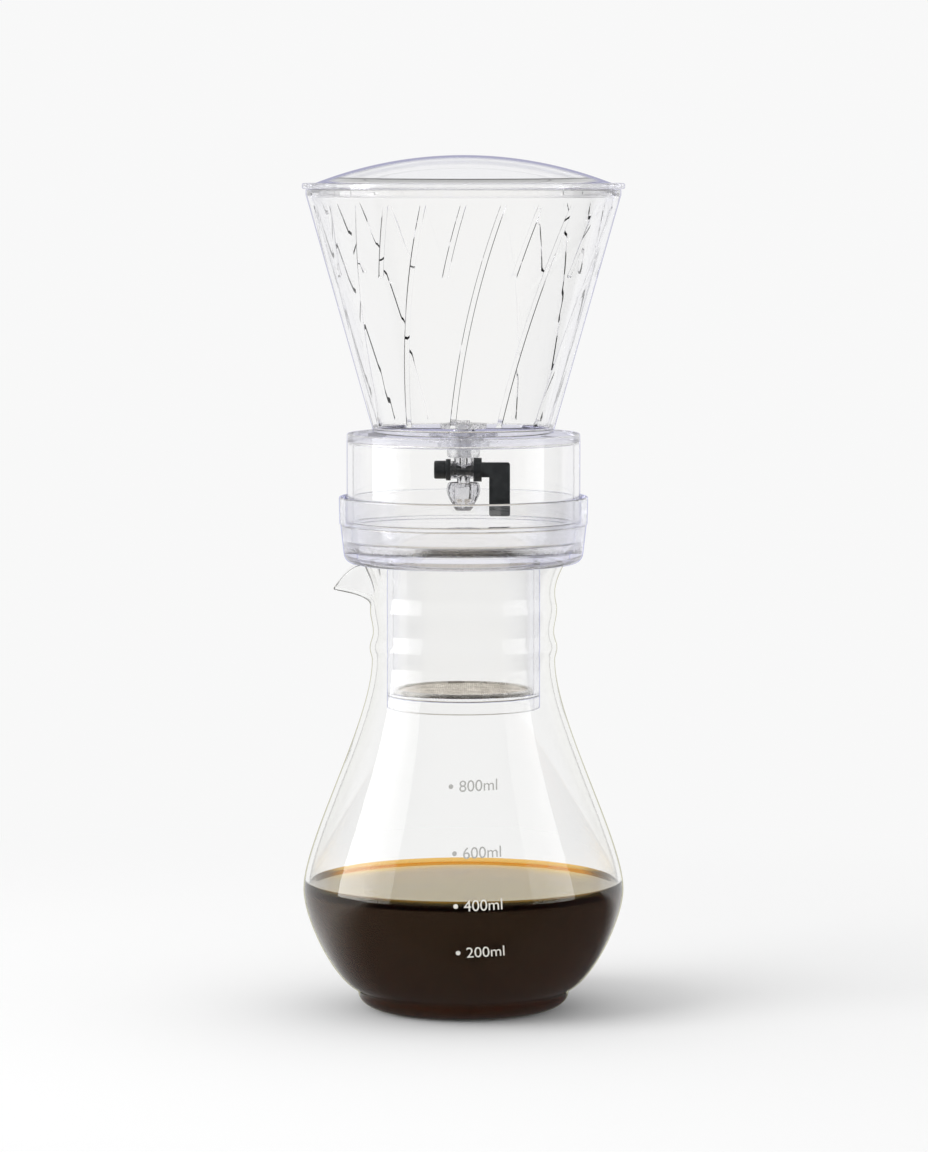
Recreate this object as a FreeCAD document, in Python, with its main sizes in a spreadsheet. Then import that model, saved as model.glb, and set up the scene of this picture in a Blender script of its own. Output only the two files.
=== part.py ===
import FreeCAD, Part
import math
import os
import re
import Sketcher

# Cold drip coffee tower: a glass carafe carries a clear brew cup, and on that stands a
# conical water tank whose stopcock lets water drip onto the coffee in the cup.
# Millimetres. The origin is the middle of the carafe's foot, on the table. +Z is up,
# -Y is the front and the carafe's spout points to -X.

SIZES = {
    # Glass carafe: heights from the table, drops from the rim down.
    "carafe_height": 175.0,
    "glass_wall": 2.0,
    "glass_floor": 3.0,
    "foot_flat_radius": 30.0,
    "foot_radius": 41.3,
    "foot_height": 6.2,
    "ankle_radius": 42.7,
    "ankle_height": 8.0,
    "belly_radius": 62.75,
    "belly_height": 47.0,
    "throat_radius": 35.76,
    "throat_drop": 38.0,
    "lower_grip_radius": 36.65,
    "lower_grip_drop": 33.3,
    "waist_radius": 35.35,
    "waist_drop": 27.0,
    "upper_grip_radius": 36.5,
    "upper_grip_drop": 17.5,
    "rim_radius": 39.4,
    "spout_reach": 50.8,
    "spout_drop": 10.6,
    "spout_half_width": 13.0,
    "lip_wall": 1.4,
    "coffee_level": 49.0,
    "film_gap": 0.05,
    "mark_radius": 0.9,
    "mark_thickness": 0.15,
    # Brew cup: a bowl with a narrow stem that hangs in the carafe's neck.
    "stem_radius": 29.85,
    "stem_length": 56.8,
    "cup_wall": 2.25,
    "skirt_height": 6.2,
    "ledge_width": 3.1,
    "ledge_thickness": 1.6,
    "bowl_base": 5.5,
    "bowl_step": 2.19,
    "bowl_taper": 1.74,
    "bowl_height": 15.2,
    "bowl_corner": 4.0,
    "cove_height": 6.0,
    "lip_height": 1.5,
    "seat_width": 1.9,
    # Collar welded round the bowl's lip. The valve housing slips into it.
    "collar_height": 10.8,
    "collar_foot_wall": 2.4,
    "collar_wall": 2.65,
    "seam_gap": 0.1,
    # Steel distribution plate and filter screen, each a disc held in a folded rim.
    "plate_radius": 38.9,
    "plate_gap": 0.7,
    "rim_width": 2.0,
    "rim_height": 1.6,
    "slot_depth": 1.2,
    "screen_thickness": 0.5,
    "screen_gap": 0.05,
    "hole_radius": 0.6,
    "hole_first_ring": 8.0,
    "hole_ring_step": 4.3,
    "filter_gap": 0.3,
    # Valve housing, a short drum that carries the tank.
    "housing_radius": 45.5,
    "housing_wall": 2.3,
    "housing_height": 34.0,
    "housing_deck": 3.0,
    "housing_gap": 0.45,
    # Water tank, a cone with spiral ribs inside.
    "tank_height": 94.7,
    "tank_base_radius": 35.0,
    "tank_cone_radius": 61.1,
    "tank_band_radius": 61.25,
    "tank_band_height": 2.6,
    "tank_wall": 2.1,
    "tank_floor": 2.0,
    "boss_radius": 9.0,
    "boss_gap": 0.1,
    "rib_height": 1.6,
    "rib_root": 0.6,
    "rib_root_width": 2.3,
    "rib_crest_width": 1.1,
    "rib_top_drop": 5.4,
    "long_rib_turn": 22.5,
    "short_rib_turn": 8.0,
    "short_rib_length": 28.0,
    # Lid.
    "lid_radius": 62.67,
    "lid_flange": 2.3,
    "lid_wall": 2.0,
    "dome_radius": 57.5,
    "dome_rise": 10.8,
    "skirt_depth": 2.9,
    "skirt_wall": 1.8,
    "lid_gap": 0.8,
    # Stopcock: silicone bushing, clear body, black plug, lever and cap.
    "valve_drop": 11.3,
    "bushing_length": 6.4,
    "bushing_head_radius": 6.8,
    "bushing_foot_radius": 6.25,
    "bushing_neck_radius": 5.0,
    "bushing_flange_radius": 9.0,
    "bushing_flange": 2.0,
    "bushing_gap": 0.05,
    "tube_radius": 2.5,
    "tube_bore": 1.2,
    "tube_stand": 1.0,
    "outlet_length": 7.0,
    "column_radius": 3.6,
    "barrel_radius": 3.4,
    "barrel_left": 4.9,
    "barrel_right": 3.8,
    "plug_radius": 2.25,
    "plug_gap": 0.05,
    "plug_bore": 1.0,
    "seal_section": 0.36,
    "seal_inset": 1.5,
    "seal_gap": 0.01,
    "stud_radius": 1.5,
    "stud_length": 5.4,
    "tang_side": 2.6,
    "tang_length": 2.8,
    "fit_gap": 0.05,
    "washer_radius": 4.2,
    "washer_thickness": 1.95,
    "face_gap": 0.05,
    "cap_radius": 3.55,
    "cap_length": 4.6,
    "hub_radius": 4.65,
    "hub_length": 3.25,
    "arm_height": 5.7,
    "arm_width": 4.6,
    "lever_reach": 14.25,
    "lever_leg_width": 8.1,
    "lever_leg_drop": 17.5,
    "lever_corner": 0.9,
    "nozzle_drop": 5.0,
    "nozzle_length": 10.3,
    "nozzle_radius": 6.55,
    "nozzle_wall": 1.3,
    "nozzle_tip_radius": 2.15,
    "nozzle_bore": 0.9,
    "edge_round": 0.7,
    "cut_overrun": 1.0,
}

WALL_STEPS = 8  # fewest points that carry one stretch of the glass's inner face
WALL_STEP = 12.0  # longest way between two of them
RIB_COUNT = 12  # of each length
RIB_SECTIONS = 6  # cross sections along one rib
LONG_RIB_AZIMUTH = -45.0  # degrees from the front towards +X, at the rib's top
HOLE_RINGS = 7
HOLES_PER_RING = 24
# Height of each graduation on the glass and the azimuth of its dot, 200 ml to 800 ml.
MARKS = ((30.5, -2.0), (49.0, -2.7), (68.5, -3.4), (93.0, -5.7))

# Places that follow from the sizes. Each is a formula of names above or of other places.
PLACES = {
    "cup_level": "carafe_height - stem_length",
    "stem_bore": "stem_radius - cup_wall",
    "ledge_bore": "stem_bore - ledge_width",
    "ledge_foot": "skirt_height - ledge_thickness",
    "bowl_floor": "stem_length + bowl_base",
    "bowl_shoulder": "stem_length + bowl_height",
    "lip_top": "bowl_shoulder + lip_height",
    "recess_radius": "plate_radius + plate_gap",
    "collar_bore": "housing_radius + housing_gap",
    "lip_radius": "collar_bore - seam_gap",
    "collar_foot_radius": "collar_bore + collar_foot_wall",
    "collar_radius": "collar_bore + collar_wall",
    "bowl_radius": "lip_radius + bowl_step",
    "bowl_foot_radius": "bowl_radius - bowl_taper",
    "lip_bore": "housing_radius - seat_width",
    "collar_level": "carafe_height + bowl_height",
    "plate_level": "carafe_height + bowl_base",
    "filter_level": "cup_level + skirt_height",
    "filter_radius": "stem_bore - filter_gap",
    "housing_level": "collar_level + lip_height",
    "housing_bore": "housing_radius - housing_wall",
    "deck_foot": "housing_height - housing_deck",
    "deck_hole": "boss_radius + boss_gap",
    "deck_level": "housing_level + deck_foot",
    "tank_slope": "(tank_cone_radius - tank_base_radius) / (tank_height - tank_band_height)",
    "tank_skin": "tank_wall * sqrt(1 + tank_slope ^ 2)",
    "tank_mouth": "tank_base_radius + tank_slope * tank_height - tank_skin",
    "tank_sump": "tank_base_radius + tank_slope * tank_floor - tank_skin",
    "tank_floor_top": "housing_deck + tank_floor",
    "tank_rim_top": "housing_deck + tank_height",
    "band_foot": "tank_rim_top - tank_band_height",
    "rib_top": "tank_rim_top - rib_top_drop",
    "neck_hole": "bushing_neck_radius + bushing_gap",
    "lid_level": "deck_level + tank_rim_top - skirt_depth",
    "flange_top": "skirt_depth + lid_flange",
    "lid_top": "flange_top + dome_rise",
    "skirt_radius": "tank_mouth - tank_slope * skirt_depth - lid_gap",
    "skirt_bore": "skirt_radius - skirt_wall",
    "dome_curve": "(dome_radius ^ 2 + dome_rise ^ 2) / (2 * dome_rise)",
    "dome_inner": "dome_curve - lid_wall",
    "dome_middle": "lid_top - dome_curve",
    "valve_level": "deck_level - valve_drop",
    "bushing_top": "bushing_length + tank_floor_top",
    "bushing_rim": "bushing_top + bushing_flange",
    "column_top": "valve_drop - bushing_length",
    "tube_top": "valve_drop + tank_floor_top + bushing_flange + tube_stand",
    "tube_hole": "tube_radius + bushing_gap",
    "barrel_bore": "plug_radius + plug_gap",
    "plug_end": "stud_length + barrel_left + barrel_right",
    "seal_floor": "barrel_bore - 2 * seal_section",
    "stud_hole": "stud_radius + fit_gap",
    "leg_start": "lever_reach - lever_leg_width",
    "egg_shoulder": "nozzle_length - edge_round",
    "egg_roof": "nozzle_length - nozzle_wall",
}

doc = FreeCAD.newDocument("ColdDripTower")
sheet = doc.addObject("Spreadsheet::Sheet", "Dims")
for row, (alias, number) in enumerate(SIZES.items(), start=1):
    sheet.set(f"A{row}", alias.replace("_", " "))
    sheet.set(f"B{row}", str(number))
    sheet.setAlias(f"B{row}", alias)
doc.recompute()

subparts = []


def formula(text):
    """The expression that FreeCAD binds: each size name becomes its cell in the sheet."""

    def cell(match):
        word = match.group()
        if word in PLACES:
            return f"({formula(PLACES[word])})"
        return f"Dims.{word}" if word in SIZES else word

    return re.sub(r"[a-z_]+", cell, text)


def amount(text):
    """The formula's value now."""
    return float(sheet.evalExpression(formula(text)))


def new_body(label, level, along="0"):
    """A body whose own origin is at a level on the tower's axis, or beside the axis."""
    body = doc.addObject("PartDesign::Body", label)
    body.Label = label
    body.setExpression("Placement.Base.x", formula(along))
    body.setExpression("Placement.Base.z", formula(level))
    subparts.append(body)
    return body


def new_sketch(body, plane="XZ_Plane"):
    sketch = body.newObject("Sketcher::SketchObject", f"{body.Label}_sketch")
    planes = [item for item in body.Origin.OriginFeatures if item.Role == plane]
    sketch.AttachmentSupport = [(planes[0], "")]
    sketch.MapMode = "FlatFace"
    return sketch


def pin_point(sketch, item, end, across, up):
    """Holds one end of a sketch item at a place that two formulas give."""
    for kind, text, axis in (("DistanceX", across, -2), ("DistanceY", up, -1)):
        if text == "0":
            sketch.addConstraint(Sketcher.Constraint("PointOnObject", item, end, axis))
            continue
        distance = amount(text)
        ends = (-1, 1, item, end) if distance > 0 else (item, end, -1, 1)
        index = sketch.addConstraint(Sketcher.Constraint(kind, *ends, abs(distance)))
        signed = formula(text) if distance > 0 else f"-({formula(text)})"
        sketch.setExpression(f"Constraints[{index}]", signed)


def draw_outline(sketch, corners):
    """Closed outline through corners (across, up). A corner with two more formulas
    starts an arc that passes through that second place."""
    spots = [FreeCAD.Vector(amount(corner[0]), amount(corner[1]), 0) for corner in corners]
    ends = []
    for corner, start, finish in zip(corners, spots, spots[1:] + spots[:1]):
        if len(corner) == 2:
            sketch.addGeometry(Part.LineSegment(start, finish), False)
            ends.append((1, 2))
            continue
        via = FreeCAD.Vector(amount(corner[2]), amount(corner[3]), 0)
        sketch.addGeometry(Part.Arc(start, via, finish), False)
        anticlockwise = (via - start).cross(finish - via).z > 0
        ends.append((1, 2) if anticlockwise else (2, 1))
    for side, corner in enumerate(corners):
        before = (side - 1) % len(corners)
        pair = (before, ends[before][1], side, ends[side][0])
        sketch.addConstraint(Sketcher.Constraint("Coincident", *pair))
        pin_point(sketch, side, ends[side][0], corner[0], corner[1])
    for side, corner in enumerate(corners):
        if len(corner) == 4:
            via = FreeCAD.Vector(amount(corner[2]), amount(corner[3]), 0)
            mark = sketch.addGeometry(Part.Point(via), True)
            pin_point(sketch, mark, 1, corner[2], corner[3])
            sketch.addConstraint(Sketcher.Constraint("PointOnObject", mark, 1, side))


def turn(body, corners, kind="Revolution", axis="V_Axis"):
    """Turns an outline on the body's XZ plane about its upright or its level axis."""
    sketch = new_sketch(body)
    draw_outline(sketch, corners)
    feature = body.newObject(f"PartDesign::{kind}", f"{body.Label}_{kind.lower()}")
    feature.Profile = sketch
    feature.ReferenceAxis = (sketch, [axis])
    feature.Angle = 360
    doc.recompute()
    return feature


def fillet_edges(body, radius, wanted):
    """Rounds the edges of the body's last feature that the wanted test picks."""
    base = body.Tip
    edges = enumerate(base.Shape.Edges, start=1)
    names = [f"Edge{number}" for number, edge in edges if wanted(edge)]
    fillet = body.newObject("PartDesign::Fillet", f"{body.Label}_round")
    fillet.Base = (base, names)
    fillet.setExpression("Radius", formula(radius))
    doc.recompute()


def round_circles(body, radius, circles, axis="z"):
    """Fillets the circular edges given by their radius and their place on the axis."""
    places = [(amount(across), amount(up)) for across, up in circles]

    def wanted(edge):
        if edge.Degenerated or not isinstance(edge.Curve, Part.Circle):
            return False
        spot = (edge.Curve.Radius, getattr(edge.Curve.Center, axis) - shift)
        return any(math.dist(spot, place) < 0.001 for place in places)

    shift = getattr(body.Tip.Shape.Placement.Base, axis)
    fillet_edges(body, radius, wanted)


def keep_shape(label, shape):
    """Puts a shape made in code into the document as a sub-part."""
    item = doc.addObject("Part::Feature", label)
    item.Label = label
    item.Shape = shape.Solids[0] if len(shape.Solids) == 1 else shape
    item.Placement = FreeCAD.Placement()
    subparts.append(item)


# Carafe: blown glass, so its walls are smooth curves and not turned steps. The outline
# runs up the outside in Bezier stretches, and the inside is the same line moved in.


def curve(*poles):
    bezier = Part.BezierCurve()
    bezier.setPoles([FreeCAD.Vector(across, 0, up) for across, up in poles])
    return bezier.toShape()


def swell(start, finish, first_pull=0.4, last_pull=0.4):
    """A stretch that leaves its start and reaches its finish upright."""
    rise = finish[1] - start[1]
    first = (start[0], start[1] + first_pull * rise)
    last = (finish[0], finish[1] - last_pull * rise)
    return curve(start, first, last, finish)


def carafe_wall():
    """The outside of the glass as a wire from the foot's flat to the rim. The fractions
    say how far each Bezier handle reaches along its stretch's spread or rise."""
    rim = (amount("rim_radius"), amount("carafe_height"))
    flat = (amount("foot_flat_radius"), 0.0)
    foot = (amount("foot_radius"), amount("foot_height"))
    ankle = (amount("ankle_radius"), amount("ankle_height"))
    belly = (amount("belly_radius"), amount("belly_height"))
    throat, lower_grip, waist, upper_grip = (
        (amount(f"{name}_radius"), amount(f"carafe_height - {name}_drop"))
        for name in ("throat", "lower_grip", "waist", "upper_grip")
    )
    foot_bend = (flat[0] + 0.65 * (foot[0] - flat[0]), 0.0)
    foot_side = (foot[0], 0.5 * foot[1])
    over_foot = (foot[0], 0.5 * (foot[1] + ankle[1]))
    spread, rise = belly[0] - ankle[0], belly[1] - ankle[1]
    under_belly = (ankle[0] + 0.47 * spread, ankle[1] + 0.13 * rise)
    under_ankle = (ankle[0] - 0.05 * spread, ankle[1] - 0.05 * 0.13 / 0.47 * rise)
    belly_side = (belly[0], belly[1] - 0.28 * rise)
    flare = rim[1] - upper_grip[1]
    above_grip = (upper_grip[0], upper_grip[1] + 0.5 * flare)
    under_rim = (rim[0] - 1.0, rim[1] - 0.23 * flare)
    return Part.Wire(
        [
            curve(flat, foot_bend, foot_side, foot),
            curve(foot, over_foot, under_ankle, ankle),
            curve(ankle, under_belly, belly_side, belly),
            swell(belly, throat, 0.21, 0.26),
            swell(throat, lower_grip),
            swell(lower_grip, waist),
            swell(waist, upper_grip),
            curve(upper_grip, above_grip, under_rim, rim),
        ]
    )


def moved_wall(wall, outwards):
    """The same wall line moved out of the glass, or into it where outwards is negative."""
    stretches = []
    for edge in wall.Edges:
        first, last = edge.ParameterRange
        steps = max(WALL_STEPS, math.ceil(edge.Length / WALL_STEP))
        places = [first + (last - first) * step / steps for step in range(steps + 1)]
        tangents = [edge.tangentAt(place) for place in places]
        points = [
            edge.valueAt(place) + outwards * FreeCAD.Vector(tangent.z, 0, -tangent.x)
            for place, tangent in zip(places, tangents)
        ]
        line = Part.BSplineCurve()
        line.interpolate(points, InitialTangent=tangents[0], FinalTangent=tangents[-1])
        stretches.append(line.toShape())
    return Part.Wire(stretches)


def half_section(wall):
    """The flat face between a wall line and the axis, level at both its ends."""
    first = wall.OrderedVertexes[0].Point
    last = wall.OrderedVertexes[-1].Point
    low = FreeCAD.Vector(0, 0, first.z)
    high = FreeCAD.Vector(0, 0, last.z)
    closing = Part.makePolygon([last, high, low, first])
    return Part.Face(Part.Wire(wall.Edges + closing.Edges))


def inner_section(wall, inset, top):
    """Half of the space inside the glass, from its floor up to a level."""
    floor = amount("glass_floor - glass_wall") + inset
    reach = 2 * amount("belly_radius")
    corners = ((0, floor), (reach, floor), (reach, top), (0, top), (0, floor))
    band = Part.makePolygon([FreeCAD.Vector(across, 0, up) for across, up in corners])
    return half_section(moved_wall(wall, -inset)).common(Part.Face(band))


def turned_solid(section):
    """Turns a flat half section, which may be in pieces, about the axis."""
    faces = [face.revolve(FreeCAD.Vector(), FreeCAD.Vector(0, 0, 1), 360) for face in section.Faces]
    return Part.makeCompound(faces) if len(faces) > 1 else faces[0]


def spout_section(reach, half_width, keel, edge):
    """One upright cut through the pouring lip: a level top and a round belly."""
    sunk = edge - 4 / 3 * (edge - keel)
    belly = Part.BezierCurve()
    poles = ((-half_width, edge), (-half_width, sunk), (half_width, sunk), (half_width, edge))
    belly.setPoles([FreeCAD.Vector(-reach, side, up) for side, up in poles])
    top = Part.LineSegment(belly.EndPoint, belly.StartPoint)
    return Part.Wire([belly.toShape(), top.toShape()])


def spout_solid(inset, lift):
    """The lip's solid, or with an inset the trough that the coffee runs through."""
    rim = amount("carafe_height")
    neck = amount("waist_radius - glass_wall")
    run = amount("spout_reach") - neck
    width = amount("spout_half_width")
    drop = amount("spout_drop")
    # Share of the run, share of the width, then keel and edge below the rim in drops.
    stations = (
        (0.0, 1.0, 1.5, 0.0),
        (0.42, 0.80, 1.35, 0.09),
        (0.74, 0.48, 1.2, 0.42),
        (1.0, 0.2, 1.1, 0.9),
    )
    sections = [
        spout_section(
            neck + share * run + inset * (share == 1.0),
            width * spread - inset,
            rim - keel * drop + inset,
            rim - edge * drop + lift,
        )
        for share, spread, keel, edge in stations
    ]
    return Part.makeLoft(sections, True, False)


wall = carafe_wall()
rim_level = amount("carafe_height")
hollow = inner_section(wall, amount("glass_wall"), rim_level)
glass = turned_solid(half_section(wall).cut(hollow))
lip = spout_solid(0.0, 0.0).cut(turned_solid(half_section(wall)))
reach = 2 * amount("belly_radius")
lip = lip.common(Part.makeCylinder(reach, rim_level))
trough = spout_solid(amount("lip_wall"), 1.0)
keep_shape("carafe", glass.fuse(lip).cut(trough))

# Coffee: fills the glass to the 400 ml mark, a thin film clear of the wall.
wet_inset = amount("glass_wall + film_gap")
wet_section = inner_section(wall, wet_inset, amount("coffee_level"))
keep_shape("brewed_coffee", turned_solid(wet_section))

# Graduations: round enamel dots fired on the outside of the glass.
enamel_wall = moved_wall(wall, amount("mark_thickness"))
enamel = turned_solid(half_section(enamel_wall)).cut(turned_solid(half_section(wall)))
dots = []
for level, azimuth in MARKS:
    swing = FreeCAD.Rotation(FreeCAD.Vector(0, 0, 1), azimuth)
    outwards = swing.multVec(FreeCAD.Vector(0, -1, 0))
    start = FreeCAD.Vector(0, 0, level)
    peg = Part.makeCylinder(amount("mark_radius"), reach, start, outwards)
    dots += enamel.common(peg).Solids
keep_shape("volume_marks", Part.makeCompound(dots))

# Brew cup: one clear moulding, a bowl over a stem with a ledge for the filter.
cup = new_body("brew_cup", "cup_level")
round_share = "(1 - sqrt(0.5))"  # how far a quarter round's middle is from its two sides
cove_side = f"lip_bore - {round_share} * (lip_bore - recess_radius)"
cove_foot = f"bowl_floor + {round_share} * cove_height"
turn(
    cup,
    [
        ("stem_bore", "0"),
        ("stem_radius", "0"),
        ("stem_radius", "stem_length"),
        ("bowl_foot_radius", "stem_length"),
        ("bowl_radius", "bowl_shoulder"),
        ("lip_radius", "bowl_shoulder"),
        ("lip_radius", "lip_top"),
        ("lip_bore", "lip_top"),
        ("lip_bore", "bowl_floor + cove_height", cove_side, cove_foot),
        ("recess_radius", "bowl_floor"),
        ("stem_bore", "bowl_floor"),
        ("stem_bore", "skirt_height"),
        ("ledge_bore", "skirt_height"),
        ("ledge_bore", "ledge_foot"),
        ("stem_bore", "ledge_foot"),
    ],
)
round_circles(cup, "bowl_corner", [("bowl_foot_radius", "stem_length")])

# Collar: a clear ring welded on the bowl's shoulder.
collar = new_body("collar_ring", "collar_level")
turn(
    collar,
    [
        ("collar_bore", "0"),
        ("collar_foot_radius", "0"),
        ("collar_radius", "collar_height"),
        ("collar_bore", "collar_height"),
    ],
)
collar_edges = [("collar_radius", "collar_height"), ("collar_bore", "collar_height")]
round_circles(collar, "edge_round", collar_edges)


# Distribution plate and filter: a thin steel disc in a folded steel rim.
def rimmed_screen(rim_label, screen_label, radius, level):
    rim = new_body(rim_label, level)
    rim_bore = f"{radius} - rim_width"
    slot_floor = f"{rim_bore} + slot_depth"
    slot_foot = "0.5 * (rim_height - screen_thickness) - screen_gap"
    slot_top = "0.5 * (rim_height + screen_thickness) + screen_gap"
    turn(
        rim,
        [
            (rim_bore, "0"),
            (radius, "0"),
            (radius, "rim_height"),
            (rim_bore, "rim_height"),
            (rim_bore, slot_top),
            (slot_floor, slot_top),
            (slot_floor, slot_foot),
            (rim_bore, slot_foot),
        ],
    )
    screen = new_body(screen_label, f"{level} + {slot_foot} + screen_gap")
    disc_edge = f"{slot_floor} - screen_gap"
    disc = [("0", "0"), (disc_edge, "0")]
    disc += [(disc_edge, "screen_thickness"), ("0", "screen_thickness")]
    turn(screen, disc)
    return screen


def drill_rings(body):
    """Drills rings of holes: one spoke of them, repeated round the axis."""
    before = body.Tip.Shape.Volume
    sketch = new_sketch(body, "XY_Plane")
    for ring in range(HOLE_RINGS):
        spread = f"(hole_first_ring + {ring} * hole_ring_step)"
        azimuth = 180 / HOLES_PER_RING * (ring % 2)
        across = f"{spread} * cos({azimuth} deg)"
        up = f"{spread} * sin({azimuth} deg)" if azimuth else "0"
        centre = FreeCAD.Vector(amount(across), amount(up), 0)
        circle = Part.Circle(centre, FreeCAD.Vector(0, 0, 1), amount("hole_radius"))
        hole = sketch.addGeometry(circle, False)
        size = Sketcher.Constraint("Radius", hole, amount("hole_radius"))
        index = sketch.addConstraint(size)
        sketch.setExpression(f"Constraints[{index}]", formula("hole_radius"))
        pin_point(sketch, hole, 3, across, up)
    spoke = body.newObject("PartDesign::Pocket", f"{body.Label}_spoke")
    spoke.Profile = sketch
    spoke.Type = "ThroughAll"
    spoke.Midplane = True
    doc.recompute()
    rings = body.newObject("PartDesign::PolarPattern", f"{body.Label}_rings")
    rings.Originals = [spoke]
    rings.Axis = (sketch, ["N_Axis"])
    rings.Angle = 360
    rings.Occurrences = HOLES_PER_RING
    body.Tip = rings
    doc.recompute()
    hole_volume = math.pi * amount("hole_radius") ** 2 * amount("screen_thickness")
    holes = (before - rings.Shape.Volume) / hole_volume
    if abs(holes - HOLE_RINGS * HOLES_PER_RING) > 0.01:
        raise RuntimeError(f"{body.Label} has {holes:.2f} holes")


rimmed_screen("filter_rim", "filter_screen", "filter_radius", "filter_level")
plate = rimmed_screen("plate_rim", "distribution_plate", "plate_radius", "plate_level")
drill_rings(plate)

# Valve housing: a clear drum, open below, that stands on the cup's lip.
housing = new_body("valve_housing", "housing_level")
turn(
    housing,
    [
        ("housing_bore", "0"),
        ("housing_radius", "0"),
        ("housing_radius", "housing_height"),
        ("deck_hole", "housing_height"),
        ("deck_hole", "deck_foot"),
        ("housing_bore", "deck_foot"),
    ],
)
housing_edges = [("housing_radius", "housing_height"), ("housing_bore", "deck_foot")]
round_circles(housing, "edge_round", housing_edges)

# Water tank: a clear cone whose boss passes through the housing's deck.
tank = new_body("water_tank", "deck_level")
turn(
    tank,
    [
        ("neck_hole", "0"),
        ("boss_radius", "0"),
        ("boss_radius", "housing_deck"),
        ("tank_base_radius", "housing_deck"),
        ("tank_cone_radius", "band_foot"),
        ("tank_band_radius", "band_foot"),
        ("tank_band_radius", "tank_rim_top"),
        ("tank_mouth", "tank_rim_top"),
        ("tank_sump", "tank_floor_top"),
        ("neck_hole", "tank_floor_top"),
    ],
)


def spiral_ribs(body, name, azimuth, foot, turned_by):
    """Ribs down the cone's inside to a foot level: one lofted rib, whose sections turn
    as they go down, then a polar pattern of it."""
    sections = []
    for step in range(RIB_SECTIONS):
        share = step / (RIB_SECTIONS - 1)
        level = f"({foot} + {share} * (rib_top - {foot}))"
        skin = f"(tank_base_radius + tank_slope * ({level} - housing_deck) - tank_skin)"
        sketch = new_sketch(body, "XY_Plane")
        twist = f"({azimuth} - {1 - share} * {turned_by}) * 1 deg"
        sketch.setExpression("AttachmentOffset.Base.z", formula(level))
        sketch.setExpression("AttachmentOffset.Rotation.Angle", formula(twist))
        root = f"-(rib_root + {skin})"
        crest = f"rib_height - {skin}"
        draw_outline(
            sketch,
            [
                ("-rib_root_width / 2", root),
                ("rib_root_width / 2", root),
                ("rib_crest_width / 2", crest),
                ("-rib_crest_width / 2", crest),
            ],
        )
        sections.append(sketch)
    rib = body.newObject("PartDesign::AdditiveLoft", f"{name}_rib")
    rib.Profile = sections[0]
    rib.Sections = sections[1:]
    doc.recompute()
    ribs = body.newObject("PartDesign::PolarPattern", f"{name}_ribs")
    ribs.Originals = [rib]
    ribs.Axis = (sections[0], ["N_Axis"])
    ribs.Angle = 360
    ribs.Occurrences = RIB_COUNT
    body.Tip = ribs
    doc.recompute()


short_azimuth = LONG_RIB_AZIMUTH + 180 / RIB_COUNT
long_foot = "(tank_floor_top - tank_floor / 4)"
short_foot = "(rib_top - short_rib_length)"
spiral_ribs(tank, "long", LONG_RIB_AZIMUTH, long_foot, "long_rib_turn")
spiral_ribs(tank, "short", short_azimuth, short_foot, "short_rib_turn")

# Lid: a shallow dome with a flange, and a skirt that drops inside the tank's mouth.
lid = new_body("lid", "lid_level")
half_dome = "dome_middle + sqrt(dome_curve ^ 2 - (dome_radius / 2) ^ 2)"
half_hollow = "dome_middle + sqrt(dome_inner ^ 2 - (skirt_bore / 2) ^ 2)"
hollow_foot = "dome_middle + sqrt(dome_inner ^ 2 - skirt_bore ^ 2)"
turn(
    lid,
    [
        ("skirt_bore", "0"),
        ("skirt_radius", "0"),
        ("skirt_radius", "skirt_depth"),
        ("lid_radius", "skirt_depth"),
        ("lid_radius", "flange_top"),
        ("dome_radius", "flange_top", "dome_radius / 2", half_dome),
        ("0", "lid_top"),
        ("0", "lid_top - lid_wall", "skirt_bore / 2", half_hollow),
        ("skirt_bore", hollow_foot),
    ],
)
round_circles(lid, "edge_round", [("lid_radius", "flange_top"), ("lid_radius", "skirt_depth")])

# Silicone bushing: grips the valve's tube and seals the hole in the tank's floor.
bushing = new_body("valve_bushing", "deck_level - bushing_length")
turn(
    bushing,
    [
        ("tube_hole", "0"),
        ("bushing_foot_radius", "0"),
        ("bushing_head_radius", "bushing_length"),
        ("bushing_neck_radius", "bushing_length"),
        ("bushing_neck_radius", "bushing_top"),
        ("bushing_flange_radius", "bushing_top"),
        ("bushing_flange_radius", "bushing_rim"),
        ("tube_hole", "bushing_rim"),
    ],
)
bushing_edges = [("bushing_flange_radius", "bushing_rim"), ("bushing_foot_radius", "0")]
round_circles(bushing, "edge_round", bushing_edges)

# Valve body: a clear tube with a level barrel across it, bored both ways.
valve = new_body("valve_body", "valve_level")
turn(
    valve,
    [
        ("0", "-outlet_length"),
        ("tube_radius", "-outlet_length"),
        ("tube_radius", "0"),
        ("column_radius", "0"),
        ("column_radius", "column_top"),
        ("tube_radius", "column_top"),
        ("tube_radius", "tube_top"),
        ("0", "tube_top"),
    ],
)
barrel = [("-barrel_left", "0"), ("barrel_right", "0")]
barrel += [("barrel_right", "barrel_radius"), ("-barrel_left", "barrel_radius")]
turn(valve, barrel, axis="H_Axis")
left, right = "-barrel_left - cut_overrun", "barrel_right + cut_overrun"
plug_way = [(left, "0"), (right, "0"), (right, "barrel_bore"), (left, "barrel_bore")]
turn(valve, plug_way, "Groove", "H_Axis")
foot, head = "-outlet_length - cut_overrun", "tube_top + cut_overrun"
water_way = [("0", foot), ("tube_bore", foot), ("tube_bore", head), ("0", head)]
turn(valve, water_way, "Groove")

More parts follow.
